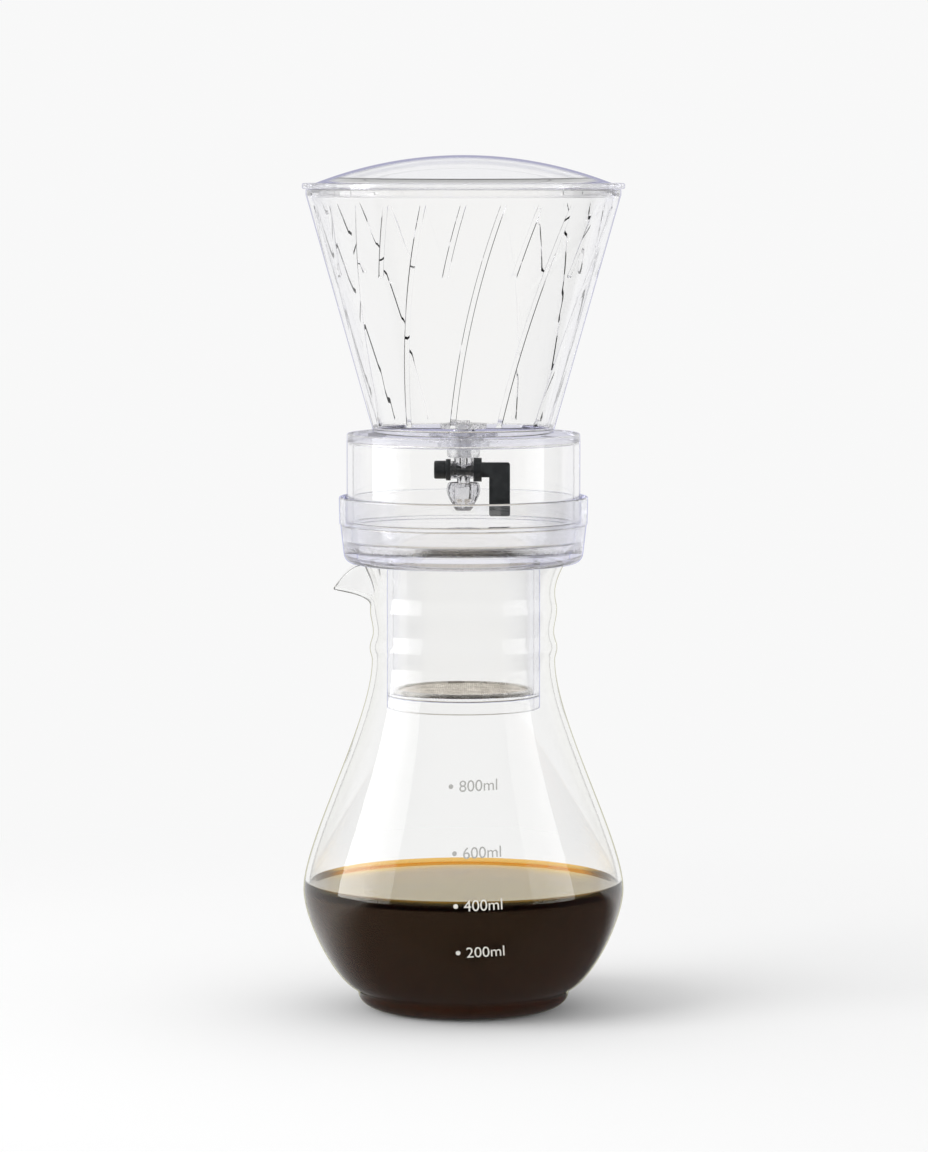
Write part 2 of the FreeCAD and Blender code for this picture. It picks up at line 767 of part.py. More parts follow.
# Drip nozzle: a hollow clear egg pushed on the valve's outlet.
nozzle = new_body("drip_nozzle", "valve_level - nozzle_drop - nozzle_length")
egg_side = "0.78 * nozzle_radius"
turn(
    nozzle,
    [
        ("nozzle_bore", "0"),
        ("nozzle_tip_radius", "0", egg_side, "0.35 * nozzle_length"),
        ("nozzle_radius", "egg_shoulder"),
        ("nozzle_radius - edge_round", "nozzle_length"),
        ("tube_hole", "nozzle_length"),
        ("tube_hole", "egg_roof"),
        (
            "nozzle_radius - nozzle_wall",
            "egg_roof",
            f"{egg_side} - nozzle_wall",
            "0.42 * nozzle_length",
        ),
        ("nozzle_bore", "nozzle_wall"),
    ],
)

# Plug: a black shaft through the barrel with a cross bore, a seal groove each side of
# it, a stud at the left for the cap and a square tang at the right for the lever.
plug = new_body("valve_plug", "valve_level", "-barrel_left - stud_length")
shaft = [("0", "0"), ("0", "stud_radius"), ("stud_length", "stud_radius")]
shaft += [("stud_length", "plug_radius")]
for groove in ("(stud_length + seal_inset)", "(plug_end - seal_inset)"):
    near, far = f"{groove} - seal_section", f"{groove} + seal_section"
    shaft += [(near, "plug_radius"), (near, "seal_floor")]
    shaft += [(far, "seal_floor"), (far, "plug_radius")]
shaft += [("plug_end", "plug_radius"), ("plug_end", "0")]
turn(plug, shaft, axis="H_Axis")


def square(side):
    half, minus_half = f"{side} / 2", f"-{side} / 2"
    return [(minus_half, minus_half), (half, minus_half), (half, half), (minus_half, half)]


tang_sketch = new_sketch(plug, "YZ_Plane")
tang_sketch.setExpression("AttachmentOffset.Base.z", formula("plug_end"))
draw_outline(tang_sketch, square("tang_side"))
tang = plug.newObject("PartDesign::Pad", "tang")
tang.Profile = tang_sketch
tang.setExpression("Length", formula("tang_length"))
doc.recompute()
cross_sketch = new_sketch(plug, "XY_Plane")
cross_place = "stud_length + barrel_left"
cross_centre = FreeCAD.Vector(amount(cross_place), 0, 0)
cross_circle = Part.Circle(cross_centre, FreeCAD.Vector(0, 0, 1), amount("plug_bore"))
cross_sketch.addGeometry(cross_circle, False)
pin_point(cross_sketch, 0, 3, cross_place, "0")
bore_size = Sketcher.Constraint("Radius", 0, amount("plug_bore"))
cross_sketch.setExpression(
    f"Constraints[{cross_sketch.addConstraint(bore_size)}]", formula("plug_bore")
)
cross_bore = plug.newObject("PartDesign::Pocket", "cross_bore")
cross_bore.Profile = cross_sketch
cross_bore.Type = "ThroughAll"
cross_bore.Midplane = True
doc.recompute()

# Seals: two rubber rings in the plug's grooves.
rings = []
for place in ("seal_inset - barrel_left", "barrel_right - seal_inset"):
    ring = doc.addObject("Part::Torus", "seal_ring")
    ring.setExpression("Radius1", formula("barrel_bore - seal_section - seal_gap"))
    ring.setExpression("Radius2", formula("seal_section - seal_gap"))
    level_axis = FreeCAD.Rotation(FreeCAD.Vector(0, 1, 0), 90)
    ring.Placement = FreeCAD.Placement(FreeCAD.Vector(), level_axis)
    ring.setExpression("Placement.Base.x", formula(place))
    ring.setExpression("Placement.Base.z", formula("valve_level"))
    rings.append(ring)
seals = doc.addObject("Part::Compound", "plug_seals")
seals.Label = "plug_seals"
seals.Links = rings
subparts.append(seals)

# Lever: an L with a round hub, socketed for the plug's tang. Hanging down it is open.
lever = new_body("valve_lever", "valve_level", "barrel_right + face_gap")
hub = [("0", "0"), ("0", "hub_radius"), ("hub_length", "hub_radius"), ("hub_length", "0")]
turn(lever, hub, axis="H_Axis")
arm_sketch = new_sketch(lever)
draw_outline(
    arm_sketch,
    [
        ("hub_length / 2", "-arm_height / 2"),
        ("leg_start", "-arm_height / 2"),
        ("leg_start", "-lever_leg_drop"),
        ("lever_reach", "-lever_leg_drop"),
        ("lever_reach", "arm_height / 2"),
        ("hub_length / 2", "arm_height / 2"),
    ],
)
arm = lever.newObject("PartDesign::Pad", "arm")
arm.Profile = arm_sketch
arm.Midplane = True
arm.setExpression("Length", formula("arm_width"))
doc.recompute()
socket_sketch = new_sketch(lever, "YZ_Plane")
draw_outline(socket_sketch, square("(tang_side + 2 * fit_gap)"))
socket = lever.newObject("PartDesign::Pocket", "socket")
socket.Profile = socket_sketch
socket.Reversed = True
socket.setExpression("Length", formula("tang_length"))
doc.recompute()
socket_volume = amount("(tang_side + 2 * fit_gap) ^ 2 * tang_length")
if abs(arm.Shape.Volume - socket.Shape.Volume - socket_volume) > 0.01:
    raise RuntimeError("the lever's socket missed")
outer_corners = [
    (amount("lever_reach"), amount("arm_height / 2")),
    (amount("lever_reach"), amount("-lever_leg_drop")),
    (amount("leg_start"), amount("-lever_leg_drop")),
]


def is_lever_corner(edge):
    middle = edge.valueAt(0.5 * (edge.FirstParameter + edge.LastParameter))
    spot = (middle.x, middle.z)
    return abs(middle.y) < 0.001 and any(math.dist(spot, c) < 0.001 for c in outer_corners)


fillet_edges(lever, "lever_corner", is_lever_corner)

# Washer and cap: they hold the plug in the barrel from the left.
washer = new_body("cap_washer", "valve_level", "-barrel_left - face_gap - washer_thickness")
turn(
    washer,
    [
        ("0", "stud_hole"),
        ("washer_thickness", "stud_hole"),
        ("washer_thickness", "washer_radius"),
        ("0", "washer_radius"),
    ],
    axis="H_Axis",
)
cap_end = "-barrel_left - face_gap - washer_thickness - cap_length"
cap = new_body("valve_cap", "valve_level", cap_end)
blind_end = "cap_length + washer_thickness + face_gap - stud_length - fit_gap"
turn(
    cap,
    [
        ("0", "0"),
        ("0", "cap_radius"),
        ("cap_length", "cap_radius"),
        ("cap_length", "stud_hole"),
        (blind_end, "stud_hole"),
        (blind_end, "0"),
    ],
    axis="H_Axis",
)
round_circles(cap, "edge_round", [("cap_radius", "0")], axis="x")

# Every feature has to be sound before any sub-part is written.
doc.recompute()
for item in doc.Objects:
    if "Invalid" in item.State or "Error" in item.State:
        raise RuntimeError(f"{item.Label} failed: {item.State}")
os.makedirs("parts", exist_ok=True)
for part in subparts:
    if part.Shape.isNull() or not part.Shape.isValid() or not part.Shape.Solids:
        raise RuntimeError(f"{part.Label} has no sound solid")
for part in subparts:
    part.Shape.exportStep(f"parts/{part.Label}.step")
    print(f"{part.Label}: {len(part.Shape.Solids)} solid, {part.Shape.Volume:.1f} mm3")
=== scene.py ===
import math

import bmesh
import bpy
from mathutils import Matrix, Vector, geometry


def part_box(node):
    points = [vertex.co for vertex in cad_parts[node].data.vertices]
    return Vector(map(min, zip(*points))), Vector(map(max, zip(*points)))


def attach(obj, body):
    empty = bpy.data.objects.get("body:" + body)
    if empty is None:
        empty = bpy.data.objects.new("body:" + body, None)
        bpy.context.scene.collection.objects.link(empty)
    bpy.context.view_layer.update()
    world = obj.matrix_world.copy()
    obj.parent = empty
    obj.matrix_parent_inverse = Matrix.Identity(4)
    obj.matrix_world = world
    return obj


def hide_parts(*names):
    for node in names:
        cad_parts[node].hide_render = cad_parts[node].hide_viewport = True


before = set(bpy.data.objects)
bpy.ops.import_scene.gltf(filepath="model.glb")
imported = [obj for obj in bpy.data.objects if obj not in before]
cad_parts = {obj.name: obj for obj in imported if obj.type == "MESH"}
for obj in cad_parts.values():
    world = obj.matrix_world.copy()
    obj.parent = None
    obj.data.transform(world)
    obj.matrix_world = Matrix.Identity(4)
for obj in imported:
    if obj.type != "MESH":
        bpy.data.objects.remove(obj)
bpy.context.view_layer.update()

# ---------------------------------------------------------------------------------------
# The studio. A pale seamless sweep, one soft key light from the left and two tall soft
# boxes that only show in reflections. A reflection sees a room that is dimmer in front and
# on the right. A long lens looks a little down at the tower.

SWEEP_WHITE = 0.94
FRONT_ROOM = 0.45  # how bright the front of the room looks in a reflection
FRONT_FLOOR = 0.10  # and the floor in front
ROOM_BACK = (-0.35, 0.94, 0.0)  # the way to the bright side of the room
ROOM_FADE = (-0.35, 0.45)  # the shares of that way between which it brightens
FLOOR_BACK = (-0.4, 0.92, 0.0)
FLOOR_FADE = (-0.02, 0.09)  # the same for the floor, in metres along its way
ROOM_LIGHT = 0.80  # what the whole room sheds on a matt surface
SWEEP_FADE = (0.22, 0.55)  # where the lit floor turns into the even sweep
SWEEP_RADIUS = 9.0
SWEEP_DROP = 0.0002  # so that the foot and the floor don't share a plane
CAMERA_SPOT = (0.0002, -1.951, 0.3302)
CAMERA_PITCH = math.radians(4.7)
CAMERA_LENS, CAMERA_SENSOR = 156.75, 36.0  # millimetres
LAMP_DISTANCE = 2.5


class Wire:
    """An output in a node tree. Sums and products of wires add the Math nodes they need."""

    def __init__(self, tree, socket=None):
        self.tree = tree
        self.socket = socket

    def node(self, kind, sockets=(), output=0, **settings):
        """A node of any kind: its settings first, then its sockets' values or links."""
        made = self.tree.nodes.new("ShaderNode" + kind)
        for setting, value in settings.items():
            setattr(made, setting, value)
        for name, value in dict(sockets).items():
            if isinstance(value, Wire):
                self.tree.links.new(value.socket, made.inputs[name])
            else:
                made.inputs[name].default_value = value
        return Wire(self.tree, made.outputs[output] if made.outputs else None)

    def __getitem__(self, output):
        """Another output of the same node."""
        return Wire(self.tree, self.socket.node.outputs[output])

    def maths(self, operation, *values):
        return self.node("Math", dict(enumerate(values)), operation=operation)

    def measure(self, operation, *vectors):
        """One number from this wire's vector, and from another where it takes two."""
        sockets = dict(enumerate((self, *vectors)))
        return self.node("VectorMath", sockets, output="Value", operation=operation)

    def __add__(self, other):
        return self.maths("ADD", self, other)

    def __sub__(self, other):
        return self.maths("SUBTRACT", self, other)

    def __rsub__(self, other):
        return self.maths("SUBTRACT", other, self)

    def __mul__(self, other):
        return self.maths("MULTIPLY", self, other)

    __radd__ = __add__
    __rmul__ = __mul__

    def between(self, low, high):
        """0 where this wire is under low, 1 where it is over high, smooth between."""
        sockets = {"Value": self, "From Min": low, "From Max": high}
        return self.node("MapRange", sockets, interpolation_type="SMOOTHSTEP")

    def blend(self, first, second):
        """The first colour where this wire is 0, the second where it is 1."""
        return self.node("Mix", {0: self, 6: first, 7: second}, output=2, data_type="RGBA")

    def mix(self, first, second):
        """The first shader where this wire is 0, the second where it is 1."""
        return self.node("MixShader", {0: self, 1: first, 2: second})

    def capped(self):
        """The same number, but never over 1."""
        return self.maths("MINIMUM", self, 1.0)


def grey(level):
    return (level, level, level, 1.0)


def new_material(name):
    """An empty material and the wire that its nodes start from."""
    material = bpy.data.materials.new(name)
    material.use_nodes = True
    material.node_tree.nodes.clear()
    return material, Wire(material.node_tree)


def new_object(name, data):
    made = bpy.data.objects.new(name, data)
    bpy.context.scene.collection.objects.link(made)
    return made


def mirrored_room(wire, ahead, front):
    """How bright the white surroundings look: dimmer where a reflection looks ahead."""
    path = wire.node("LightPath")
    reflected = path["Glossy Depth"].capped()
    dimming = 1 - reflected * ahead * (1 - front / SWEEP_WHITE)
    return path, dimming * SWEEP_WHITE


def light_the_room():
    world = bpy.data.worlds.new("studio")
    world.use_nodes = True
    world.node_tree.nodes.clear()
    bpy.context.scene.world = world
    wire = Wire(world.node_tree)
    direction = wire.node("TexCoord", output="Generated")
    ahead = 1 - direction.measure("DOT_PRODUCT", ROOM_BACK).between(*ROOM_FADE)
    path, shown = mirrored_room(wire, ahead, FRONT_ROOM)
    seen = path["Is Camera Ray"] + path["Is Glossy Ray"] + path["Is Transmission Ray"]
    seen = seen.capped()
    level = seen * shown + (1 - seen) * ROOM_LIGHT
    sky = wire.node("Background", {"Color": grey(1.0), "Strength": level})
    wire.node("OutputWorld", {"Surface": sky})


def hang_soft_box(name, turn, lift, width, height, glow):
    """A soft box, turned from the front to the right and lifted, that faces the tower."""
    lamp = bpy.data.lights.new(name, "AREA")
    lamp.shape = "RECTANGLE"
    lamp.size, lamp.size_y = width, height
    lamp.energy = glow * math.pi * width * height
    box = new_object(name, lamp)
    turn, lift = math.radians(turn), math.radians(lift)
    level = math.cos(lift)
    way = Vector((level * math.sin(turn), -level * math.cos(turn), math.sin(lift)))
    box.location = way * LAMP_DISTANCE
    box.rotation_euler = (-way).to_track_quat("-Z", "Y").to_euler()
    box.visible_camera = False
    box.visible_transmission = False
    return box


def stand_reflector(name, turn, width, height, glow):
    """An upright soft box on the floor that sheds no light and only shows in gloss."""
    box = hang_soft_box(name, turn, 0, width, height, glow)
    box.location.z = height / 2
    box.visible_diffuse = False


def lay_the_floor():
    shape = bmesh.new()
    bmesh.ops.create_circle(shape, cap_ends=True, radius=SWEEP_RADIUS, segments=96)
    bmesh.ops.translate(shape, verts=shape.verts, vec=(0, 0, -SWEEP_DROP))
    sheet = bpy.data.meshes.new("sweep")
    shape.to_mesh(sheet)
    shape.free()
    floor = new_object("sweep", sheet)
    material, wire = new_material("sweep_paper")
    spot = wire.node("TexCoord", output="Object")
    ahead = 1 - spot.measure("DOT_PRODUCT", FLOOR_BACK).between(*FLOOR_FADE)
    path, shown = mirrored_room(wire, ahead, FRONT_FLOOR)
    lit = wire.node("BsdfDiffuse", {"Color": grey(SWEEP_WHITE)})
    even = wire.node("Emission", {"Color": grey(1.0), "Strength": shown})
    share = spot.measure("LENGTH").between(*SWEEP_FADE)
    share = share.maths("MAXIMUM", share, path["Glossy Depth"].capped())
    wire.node("OutputMaterial", {"Surface": share.mix(lit, even)})
    sheet.materials.append(material)


lens = bpy.data.cameras.new("camera")
lens.lens = CAMERA_LENS
lens.sensor_width = CAMERA_SENSOR
camera = new_object("camera", lens)
camera.location = CAMERA_SPOT
camera.rotation_euler = (math.radians(90) - CAMERA_PITCH, 0, 0)
scene = bpy.context.scene
scene.camera = camera
scene.view_settings.view_transform = "Standard"
scene.cycles.max_bounces = 28
scene.cycles.transmission_bounces = 28
scene.cycles.glossy_bounces = 10
scene.cycles.transparent_max_bounces = 40
light_the_room()
key_box = hang_soft_box("key_soft_box", turn=-62, lift=41, width=1.6, height=1.6, glow=3.1)
key_box.visible_glossy = False
stand_reflector("left_soft_box", turn=-77, width=2.2, height=4.0, glow=5.0)
stand_reflector("right_soft_box", turn=68, width=1.6, height=3.6, glow=2.6)
lay_the_floor()

# ---------------------------------------------------------------------------------------
# Carafe. Blown borosilicate glass, about 2 mm thick, with a flat foot, a round belly and
# a waisted neck. The pouring lip is pulled out of the hot rim on the left.

MM = 0.001
GLASS_WALL = 2.0
GLASS_FLOOR = 3.0
TIP_WALL = 1.3
FOOT_FLAT = 30.0
FOOT = (41.3, 6.2)
ANKLE = (42.7, 8.0)
BELLY_HEIGHT = 47.0
THROAT = (35.76, 137.0)
LOWER_GRIP = (36.65, 141.7)
WAIST = (35.35, 148.0)
UPPER_GRIP = (36.5, 156.7)
UPPER_WAIST = (35.75, 163.0)
RIM_RADIUS = 39.4
RIM_FLARE = 1.0  # how far the neck still widens just under the rim
RIM_ROUND = 0.55
SPOUT_FOOT = 158.5  # height where the pouring lip starts to leave the neck
SPOUT_PULL = 11.4
SPOUT_DROP = 10.6
SPOUT_SIDE = math.radians(20)
SPOUT_CROWDING = 0.5  # share by which the mesh's columns close up at the spout
SPOUT_RISE, SPOUT_TROUGH, SPOUT_TIP = 1.2, 2.2, 4.5  # powers: how late, narrow and pointed
CARAFE_COLUMNS, LARGE_COLUMNS = 192, 160  # the latter for coffee, cup, collar, drum and lid
SAME_SPOT = 0.0005  # vertices nearer than this are one
SHARP = math.radians(32)


def span(node):
    """A CAD node's lowest and highest corner in millimetres."""
    low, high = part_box(node)
    return low / MM, high / MM


def bend(start, pull, last_pull, finish, steps):
    """Points (across, up) along a Bezier stretch, without its last point."""
    knots = [Vector((*spot, 0.0)) for spot in (start, pull, last_pull, finish)]
    points = geometry.interpolate_bezier(*knots, steps + 1)
    return [(point.x, point.y) for point in points[:-1]]


def swell(start, finish, steps, first_share=0.4, last_share=0.4):
    """A stretch that leaves its start and reaches its finish upright."""
    rise = finish[1] - start[1]
    pull = (start[0], start[1] + first_share * rise)
    last_pull = (finish[0], finish[1] - last_share * rise)
    return bend(start, pull, last_pull, finish, steps)


def carafe_outline():
    """The outside of the glass from the middle of its foot to the rim. Nearly every pull
    is a share of the way between the ends of its curve."""
    high = span("carafe")[1]
    belly = (high.x, BELLY_HEIGHT)
    rim = (RIM_RADIUS, high.z)
    spread, rise = belly[0] - ANKLE[0], belly[1] - ANKLE[1]
    under_belly = (ANKLE[0] + 0.47 * spread, ANKLE[1] + 0.13 * rise)
    under_ankle = (ANKLE[0] - 0.05 * spread, ANKLE[1] - 0.014 * rise)
    belly_side = (belly[0], belly[1] - 0.28 * rise)
    foot_bend = (FOOT_FLAT + 0.65 * (FOOT[0] - FOOT_FLAT), 0.0)
    over_foot = (FOOT[0], 0.5 * (FOOT[1] + ANKLE[1]))
    flare = rim[1] - UPPER_WAIST[1]
    over_waist = (UPPER_WAIST[0], UPPER_WAIST[1] + 0.45 * flare)
    under_rim = (rim[0] - RIM_FLARE, rim[1] - 0.23 * flare)
    points = [(0.0, 0.0), (0.4 * FOOT_FLAT, 0.0), (0.8 * FOOT_FLAT, 0.0)]
    points += bend((FOOT_FLAT, 0.0), foot_bend, (FOOT[0], 0.5 * FOOT[1]), FOOT, 9)
    points += bend(FOOT, over_foot, under_ankle, ANKLE, 3)
    points += bend(ANKLE, under_belly, belly_side, belly, 16)
    points += swell(belly, THROAT, 30, first_share=0.21, last_share=0.26)
    points += swell(THROAT, LOWER_GRIP, 5)
    points += swell(LOWER_GRIP, WAIST, 6)
    points += swell(WAIST, UPPER_GRIP, 7)
    points += swell(UPPER_GRIP, UPPER_WAIST, 6)
    points += bend(UPPER_WAIST, over_waist, under_rim, rim, 12)
    return points + [rim]


carafe_line = carafe_outline()


def spun(outline, steps, closed=True):
    """A bmesh of an outline (across, up) in millimetres, turned once round the tower's axis.
    An outline that isn't closed starts and ends on the axis, or stays a sheet."""
    shape = bmesh.new()
    corners = [shape.verts.new(Vector((across, 0, up)) * MM) for across, up in outline]
    finishes = corners[1:] + corners[:1] if closed else corners[1:]
    sides = [shape.edges.new(pair) for pair in zip(corners, finishes)]
    bmesh.ops.spin(
        shape,
        geom=corners + sides,
        cent=(0, 0, 0),
        axis=(0, 0, 1),
        angle=math.tau,
        steps=steps,
        use_merge=True,
    )
    bmesh.ops.remove_doubles(shape, verts=shape.verts, dist=SAME_SPOT * MM)
    bmesh.ops.recalc_face_normals(shape, faces=shape.faces)
    return shape


def ease_edges(shape, edges, width, segments):
    """Rounds edges over. The width is in millimetres."""
    bmesh.ops.bevel(
        shape,
        geom=edges,
        offset=width * MM,
        offset_type="OFFSET",
        segments=segments,
        profile=0.5,
        affect="EDGES",
        clamp_overlap=True,
        material=-1,
    )


def finished(name, shape, material, sharp=SHARP):
    """An object from a bmesh, smooth but for its sharp edges."""
    mesh = bpy.data.meshes.new(name)
    shape.to_mesh(mesh)
    shape.free()
    mesh.shade_smooth()
    mesh.set_sharp_from_angle(angle=sharp)
    mesh.materials.append(material)
    return new_object(name, mesh)


def pull_spout(shape):
    """Pulls the lip out of the neck. Gives back the share of the pull each vertex took."""
    rim = carafe_line[-1][1]
    taken = {}
    for vert in shape.verts:
        across = math.hypot(vert.co.x, vert.co.y) / MM
        turn = math.atan2(vert.co.y, -vert.co.x)
        turn -= SPOUT_CROWDING * math.sin(turn)
        up = vert.co.z / MM
        rise = max(0.0, (up - SPOUT_FOOT) / (rim - SPOUT_FOOT)) ** SPOUT_RISE
        side = max(0.0, 1 - (turn / SPOUT_SIDE) ** 2)
        across += SPOUT_PULL * side**SPOUT_TROUGH * rise
        up -= SPOUT_DROP * side**SPOUT_TIP * rise
        spot = (-across * math.cos(turn), across * math.sin(turn), up)
        vert.co = Vector(spot) * MM
        taken[vert] = side * rise
    return taken


def blow_carafe():
    shape = spun(carafe_line, CARAFE_COLUMNS, closed=False)
    taken = pull_spout(shape)
    shape.normal_update()
    outside = Vector((0, 0, -1)).dot(min(shape.verts, key=lambda vert: vert.co.z).normal)
    if outside < 0:
        bmesh.ops.reverse_faces(shape, faces=shape.faces)
        shape.normal_update()
    outer_rim = [edge for edge in shape.edges if edge.is_boundary]
    copy = bmesh.ops.duplicate(shape, geom=shape.verts[:] + shape.edges[:] + shape.faces[:])
    inner_faces = [item for item in copy["geom"] if isinstance(item, bmesh.types.BMFace)]
    inner_of = copy["vert_map"]
    for vert, share in taken.items():
        inner = inner_of[vert]
        foot_share = max(0.0, -vert.normal.z) * max(0.0, 1 - vert.co.z / (FOOT[1] * MM))
        wall = GLASS_WALL + (GLASS_FLOOR - GLASS_WALL) * foot_share
        wall -= (GLASS_WALL - TIP_WALL) * share
        inner.co -= vert.normal * wall * MM
    bmesh.ops.reverse_faces(shape, faces=inner_faces)
    inner_rim = [edge for edge in shape.edges if edge.is_boundary and edge not in outer_rim]
    bmesh.ops.bridge_loops(shape, edges=outer_rim + inner_rim)
    bmesh.ops.recalc_face_normals(shape, faces=shape.faces)
    ease_edges(shape, outer_rim + inner_rim, RIM_ROUND, segments=3)
    return shape


SEEN_FACE_ON, SEEN_ASLANT, SEEN_EDGE_ON = (0.12, 0.25), (0.45, 0.75), (0.84, 0.92)
ASLANT_EDGE_SHADE, THICK_EDGE_SHADE = 0.3, 0.25  # shares of the painted edge shade
MASK_EDGE = 0.1  # the height over which a mask fades
CLEAR_BODY = (0.999, 0.998, 0.994, 1.0)
CLEAR_SHADE = 0.985


def glossed(slant, limits, mirror, bent, solid):
    """A wall that mirrors fully where it is seen aslant and by a share where face on."""
    gloss = slant.between(*limits) * (1 - mirror) + mirror
    return gloss.mix(bent, solid)


def fill(wire, surface, shade, kept, density):
    """Ends a clear material. Shadow rays and matt surfaces see only a plain shade, and the
    inside takes light at its density but for the colour that it keeps."""
    path = wire.node("LightPath")
    shaded = path.maths("MAXIMUM", path["Is Shadow Ray"], path["Is Diffuse Ray"])
    plain = wire.node("BsdfTransparent", {"Color": grey(shade)})
    volume = wire.node("VolumeAbsorption", {"Color": kept, "Density": density})
    wire.node("OutputMaterial", {"Surface": shaded.mix(surface, plain), "Volume": volume})


def clear_material(
    name,
    painted_edge_shade,
    absorbed,
    ior=1.5,
    body=CLEAR_BODY,
    ripple=0.03,
    ripple_size=0.04,
    haze=0.04,
    mirror=0.2,
    unbent=(0.0, 0.0, 0.0),
):
    """A clear moulded or blown wall. Shadows and matt surfaces see straight through it.
    absorbed is what a metre takes of red, green and blue. Where a wall is seen almost edge
    on it takes a painted shade along its outlines, in the material's own tint, and face on
    it keeps only a share of its mirroring. unbent is a share of light and the two heights
    between which the wall, thick and many-sided there, lets it pass straight and takes some
    of that painted edge shade. One material covers the whole piece, because what a ray
    meets when it leaves has to be what it met when it went in."""
    material, wire = new_material(name)
    spot = wire.node("TexCoord", output="Object")
    slant = wire.node("LayerWeight", {"Blend": 0.5}, output="Facing")
    share, low, high = unbent
    up = wire.node("SeparateXYZ", {0: spot}, output="Z")
    thick = up.between((low - MASK_EDGE) * MM, low * MM)
    thick = thick * (1 - up.between(high * MM, (high + MASK_EDGE) * MM))
    cloud = wire.node("TexNoise", {"Vector": spot, "Scale": 26.0, "Detail": 3.0})
    colour = cloud.between(0.35, 0.75).blend(grey(1.0), body)
    # Painted shade: seen aslant, and in the thick band between the given heights, the wall
    # darkens towards the edge shade.
    colour = (slant.between(*SEEN_ASLANT) * ASLANT_EDGE_SHADE).blend(colour, painted_edge_shade)
    colour = (thick * THICK_EDGE_SHADE).blend(colour, painted_edge_shade)
    waves = wire.node("TexNoise", {"Vector": spot, "Scale": 1 / ripple_size, "Detail": 1.0})
    relief = wire.node("Bump", {"Height": waves, "Strength": ripple, "Distance": 0.001})
    smears = wire.node("TexNoise", {"Vector": spot, "Scale": 70.0, "Detail": 5.0})
    sockets = {
        "Base Color": colour,
        "Roughness": smears.between(0.62, 0.8) * haze,
        "IOR": ior,
        "Transmission Weight": 1.0,
        "Normal": relief,
    }
    solid = wire.node("BsdfPrincipled", sockets)
    bending = {"Color": body, "Roughness": 0.0, "IOR": ior, "Normal": relief}
    bent = wire.node("BsdfRefraction", bending)
    wall = glossed(slant, SEEN_FACE_ON, mirror, bent, solid)
    # Painted shade: seen almost edge on, the wall lets light through the edge shade and
    # mirrors nothing, which draws dark outlines.
    edge = wire.node("BsdfTransparent", {"Color": painted_edge_shade})
    wall = slant.between(*SEEN_EDGE_ON).mix(wall, edge)
    straight_on = wire.node("BsdfTransparent", {"Color": body})
    wall = (thick * share).mix(wall, straight_on)
    strongest = max(absorbed)
    kept = tuple(1 - part / strongest for part in absorbed) + (1.0,)
    fill(wire, wall, CLEAR_SHADE, kept, strongest)
    return material


carafe_glass = clear_material(
    "carafe_glass",
    # painted shade for the outlines, in the material's own tint
    painted_edge_shade=(0.78, 0.77, 0.68, 1.0),
    absorbed=(1.6, 1.4, 2.2),
    ior=1.47,
    body=(0.998, 0.998, 0.996, 1.0),
    ripple=0.05,
    ripple_size=0.02,
    haze=0.02,
    mirror=0.4,
)
carafe = finished("blown_carafe", blow_carafe(), carafe_glass, sharp=math.radians(60))
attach(carafe, "carafe")
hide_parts("carafe")

# ---------------------------------------------------------------------------------------
# Coffee. 400 ml of cold brew, nearly black in its depth and amber where it is thin. It
# wets the glass and creeps up it a little at the edge.

COFFEE_OVERLAP = 0.2  # how far the liquid reaches into the glass, so that no air shows
MENISCUS_RISE = 1.6
MENISCUS_WIDTH = 3.2
MENISCUS_REACH = 1.2  # how far out from the glass its steep part comes
SHADE_BAND_DEPTH = 2.2  # the depth of a strip just under the surface that mirrors less and is painted darker, as shade
SHADE_BAND_EDGE = 0.2
DEEP_COFFEE, SILTY_COFFEE = (0.80, 0.48, 0.27, 1.0), (0.70, 0.41, 0.23, 1.0)
SURFACE_COLOUR, SURFACE_SILT = (0.66, 0.47, 0.12, 1.0), (0.55, 0.38, 0.12, 1.0)
# Painted light: the amber glow painted on the back rim of the surface, as if lit from behind.
PAINTED_BACKLIT_AMBER = (1.0, 0.64, 0.20, 1.0)
# Painted shade: the surface's left and right ends are painted this dark brown.
PAINTED_SIDE_SHADE = (0.16, 0.08, 0.03, 1.0)
# Painted shade: the strip just under the surface is painted this near-black brown.
PAINTED_BAND_SHADE = (0.05, 0.03, 0.02, 1.0)
BENT_AMBER = (0.95, 0.78, 0.50, 1.0)
KEPT_AMBER, COFFEE_DENSITY = (0.87, 0.62, 0.12, 1.0), 420.0
BACKLIT_RIM_REACH, BACKLIT_BACK_REACH = (0.060, 0.076), (0.0, 0.04)  # metres, where the back rim is painted with a back-lit amber glow
# metres across the view, where the painted side shade comes in
PAINTED_SIDE_SHADE_REACH = (0.046, 0.060)
SURFACE_ASLANT, COFFEE_ASLANT = (0.5, 0.85), (0.2, 0.6)
AMBER_MIRROR, BACKLIT_BOOST = 0.4, 2  # the boost is what the painted back-lit glow adds to the mirroring, as a multiple
DEEP_MIRROR = 0.5  # under the strip, face on
COFFEE_IOR = 1.34
COFFEE_SHADE = 0.02


def moved_in(points, distance):
    """The same outline, each point moved square to it towards the axis."""
    moved = []
    for index, point in enumerate(points):
        before = Vector(points[max(index - 1, 0)])
        after = Vector(points[min(index + 1, len(points) - 1)])
        along = (after - before).normalized()
        moved.append((point[0] - along.y * distance, point[1] + along.x * distance))
    return moved


